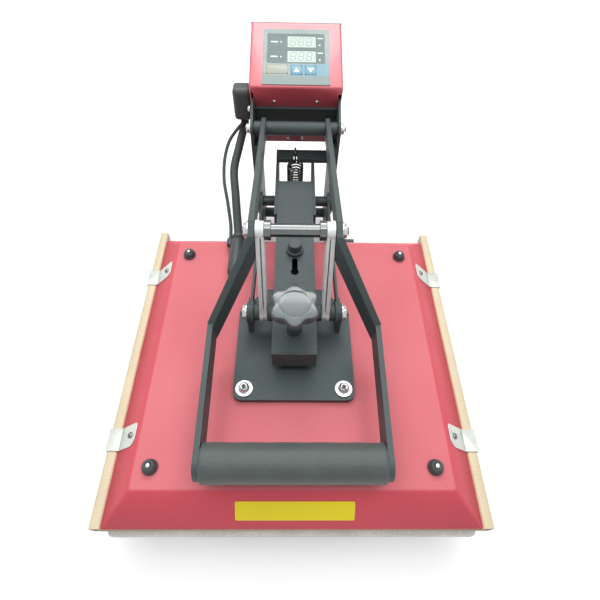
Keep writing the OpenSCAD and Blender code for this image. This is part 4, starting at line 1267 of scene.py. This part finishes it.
class PRESS_OT_panel(bpy.types.Operator):
    """Printed film, digits, marks and keys on the box's face"""

    bl_idname = "press.panel"
    bl_label = "Control panel"

    film, ink, slack = 1.2, 0.04, 0.3
    key_top, key_thick, key_corner, key_middle, arrow = 1.6, 2.2, 2.2, 28, 5
    digit_left, digit_pitch, digit_drop = -8.6, 11.2, 4.6
    # left, right, lower and upper edge on the box's face
    areas = {"set": (-41.5, -11.5, 21.5, 36.5), "up": (-7, 8, 20.5, 35.5), "down": (12.5, 27.5, 20.5, 35.5)}
    windows = (-12.5, 27.5, 42, 62), (-12.5, 27.5, 68, 88)
    rows = {"low": 50, "high": 76}

    def ink_on(self, name, area, corner, finish, holes=(), lift=0.0):
        """A printed area of the film with openings cut through it."""
        base = self.film + lift
        inked = patch(name, area, base, base + self.ink, corner)
        s = self.slack
        for k, (x0, x1, y0, y1) in enumerate(holes):
            hole = patch("%s_hole_%d" % (name, k), (x0 - s, x1 + s, y0 - s, y1 + s), 0, 4)
            finish_with(inked, "BOOLEAN", object=hole, operation="DIFFERENCE", solver="EXACT")
            pick(hole)
            bpy.ops.object.delete()
        done(inked, "frame", finish, slot="panel_film")

    def marks(self, row, y):
        """Plain strokes beside a display, and its digits."""
        for letter, area, corner in (("a", (-36, -26, y, y + 2.2), 0.8),
                                     ("b", (-22.5, -20.5, y, y + 2), 0.8),
                                     ("c", (29.5, 37.5, y + 7.4, y + 9), 0.7),
                                     ("d", (31.5, 34, y - 5, y - 2.8), 0.9)):
            self.ink_on("mark_%s_%s" % (letter, row), area, corner, "white_print", lift=self.ink)
        lefts = [self.digit_left + self.digit_pitch * i for i in range(3)]
        digits = [digit("digit_%s_%d" % (row, i), x, y - self.digit_drop) for i, x in enumerate(lefts)]
        done(merge("digits_" + row, *digits), "frame", "digit_bar", slot="display_glass")

    def key(self, key, finish):
        node = "key_" + key
        bottom = self.key_top - self.key_thick
        cap = patch(node + "_cap", self.areas[key], bottom, self.key_top, self.key_corner)
        soften(cap, 0.4)
        done(cap, key + "_key", finish, node, angle=40)

    def pointer(self, key, x, sign):
        """White triangle on an arrow key."""
        turns = [math.radians(90 * sign + 120 * i) for i in range(3)][::sign]
        r, up = self.arrow, self.key_middle - sign
        ring = [on_box(x + r * math.cos(a), up + r * math.sin(a), self.key_top) for a in turns]
        done(slab("arrow_" + key, ring, BOX_OUT * 0.06 * MM), key + "_key", "white_print", slot="key_blue")

    def execute(self, context):
        keys = self.areas
        self.ink_on("print_field", (-41, 40, 39.6, 92), 3, "panel_field", self.windows)
        self.ink_on("print_beige", (-43.5, -9.6, 19.6, 38.4), 1, "beige_print", [keys["set"]])
        self.ink_on("print_blue", (-9.4, 44, 18.8, 38.4), 1, "blue_print", [keys["up"], keys["down"]])
        for row, y in self.rows.items():
            self.marks(row, y)
        for key, finish in (("set", "key_film"), ("up", "key_blue"), ("down", "key_blue")):
            self.key(key, finish)
        for key, x, sign in (("up", 0.5, 1), ("down", 20, -1)):
            self.pointer(key, x, sign)
        return {"FINISHED"}


class PRESS_OT_plate_mark(bpy.types.Operator):
    """Bare yellow plate on the cover's front slope"""

    bl_idname = "press.plate_mark"
    bl_label = "Bare front plate"

    half, tall, corner, thick = 62, 22, 2, 0.6
    up, right = 21.5, 2

    def execute(self, context):
        low = at(0, 0, PRESS_OT_cover.lip)
        slope = (BACK + UP).normalized()  # the cover's slopes rise at 45 degrees
        out = Vector((0, -slope.z, slope.y))
        centre = low + (slope * self.up + ACROSS * self.right) * MM
        area = (-self.half, self.half, -self.tall / 2, self.tall / 2)
        points = [centre + (ACROSS * x + slope * y) * MM for x, y in rounded(*area, self.corner, 4)]
        plate = slab("front_plate", points, out * self.thick * MM)
        soften(plate, 0.2)
        done(plate, "arm", "yellow_plate", slot="red_paint")
        return {"FINISHED"}


class PRESS_OT_stage(bpy.types.Operator):
    """Pale floor, soft studio light and the camera"""

    bl_idname = "press.stage"
    bl_label = "Stage"

    # name, place, aim, size and power, in metres and watts
    lamps = (
        ("sky_panel", (0.0, 0.15, 1.9), (0, 0, 0.1), (2.6, 2.0), 34),
        ("rear_panel", (0.0, 1.25, 1.8), (0, 0.2, 0.2), (1.3, 0.5), 15.5),
        ("strip_panel", (0.0, -0.55, 1.75), (0, 0.05, 0.15), (1.5, 0.1), 3.5),
    )
    eye, turns = (-2.0, -49.2, 499.3), (55.76, 1.72, 1.88)  # turns are pitch, yaw and roll in degrees
    sensor, focal_pixels, picture_pixels = 36, 420.7, 600
    # distances between which the floor's own light rises, and its strength at both
    floor_size, glow = 14, (0.9, 3.0, 0.22, 0.75)
    sky_light, sky_seen = 0.3, 1.0

    def seen(self, t):
        """1 for the rays that show the background: straight, mirrored or through glass."""
        path = t.add("LightPath").outputs
        straight = t.math("MAXIMUM", path["Is Camera Ray"], path["Is Glossy Ray"])
        return t.math("MAXIMUM", straight, path["Is Transmission Ray"])

    def floor(self):
        clear()
        bpy.ops.mesh.primitive_plane_add(size=self.floor_size, location=(0, 0, -0.5 * MM))
        ground = settle(bpy.context.object, "floor")
        m, t, shader, place = material("pale_floor", Roughness=0.9)
        tone = t.drift(t.noise(place, 3.0), 0.0, 1.0)
        t.put(t.mix(tone, (0.93, 0.93, 0.93, 1), (0.95, 0.95, 0.95, 1)), shader["Base Color"])
        shader["Emission Color"].default_value = (1, 1, 1, 1)
        glow = t.step(t.vector("LENGTH", place, out="Value"), *self.glow)
        t.put(t.math("MULTIPLY", self.seen(t), glow), shader["Emission Strength"])
        wear(ground, m)

    def lamp(self, name, place, aim, size, power):
        clear()
        bpy.ops.object.light_add(type="AREA", location=place)
        lamp = bpy.context.object
        lamp.name = name
        lamp.rotation_euler = (Vector(aim) - Vector(place)).to_track_quat("-Z", "Y").to_euler()
        lamp.data.shape = "RECTANGLE"
        lamp.data.size, lamp.data.size_y = size
        lamp.data.energy = power

    def world(self, scene):
        scene.world = bpy.data.worlds.new("studio")
        scene.world.use_nodes = True
        tree = scene.world.node_tree
        t = Tree(tree)
        back = tree.nodes["Background"].inputs
        back["Color"].default_value = (1, 1, 1, 1)
        t.put(t.step(self.seen(t), 0.0, 1.0, self.sky_light, self.sky_seen), back["Strength"])

    def camera(self, scene):
        """The photograph's view: a wide lens in front of and above the press, looking down."""
        pitch, yaw, roll = (math.radians(a) for a in self.turns)
        level = Vector((math.sin(yaw), math.cos(yaw), 0))
        ahead = level * math.cos(pitch) - UP * math.sin(pitch)
        right = Vector((math.cos(yaw), -math.sin(yaw), 0))
        up = right.cross(ahead)
        right, up = (
            math.cos(roll) * right + math.sin(roll) * up,
            math.cos(roll) * up - math.sin(roll) * right,
        )
        clear()
        bpy.ops.object.camera_add(location=at(*self.eye))
        eye = bpy.context.object
        eye.name = "photo_view"
        eye.rotation_euler = Matrix((right, up, -ahead)).transposed().to_euler()
        eye.data.sensor_width = self.sensor
        eye.data.lens = self.sensor * self.focal_pixels / self.picture_pixels
        eye.data.clip_start = 0.01
        scene.camera = eye

    def execute(self, context):
        self.floor()
        for row in self.lamps:
            self.lamp(*row)
        self.world(context.scene)
        self.camera(context.scene)
        context.scene.view_settings.view_transform = "Standard"
        return {"FINISHED"}


class PRESS_PT_panel(bpy.types.Panel):
    """Sizes, colours and building steps of the press in the sidebar"""

    bl_idname = "PRESS_PT_panel"
    bl_label = "Heat press"
    bl_space_type = "VIEW_3D"
    bl_region_type = "UI"
    bl_category = "Heat press"

    def draw(self, context):
        for group in (context.scene.press_sizes, context.scene.press_colours):
            for name in group.__annotations__:
                self.layout.prop(group, name)
        for step in STEPS:
            self.layout.operator(step.bl_idname)


STEPS = [
    PRESS_OT_finishes, PRESS_OT_plates, PRESS_OT_cover, PRESS_OT_sheet, PRESS_OT_pad, PRESS_OT_knob,
    PRESS_OT_grip, PRESS_OT_shafts, PRESS_OT_plate_bolts, PRESS_OT_caps, PRESS_OT_leads, PRESS_OT_spring,
    PRESS_OT_clips, PRESS_OT_box, PRESS_OT_panel, PRESS_OT_plate_mark, PRESS_OT_stage,
]
CLASSES = [PressSizes, PressColours, *STEPS, PRESS_PT_panel]


def register():
    for c in CLASSES:
        bpy.utils.register_class(c)
    bpy.types.Scene.press_sizes = bpy.props.PointerProperty(type=PressSizes)
    bpy.types.Scene.press_colours = bpy.props.PointerProperty(type=PressColours)


def unregister():
    del bpy.types.Scene.press_colours
    del bpy.types.Scene.press_sizes
    for c in reversed(CLASSES):
        bpy.utils.unregister_class(c)


def main():
    register()
    for step in STEPS:
        group, name = step.bl_idname.split(".")
        getattr(getattr(bpy.ops, group), name)()


if __name__ == "__main__":
    main()
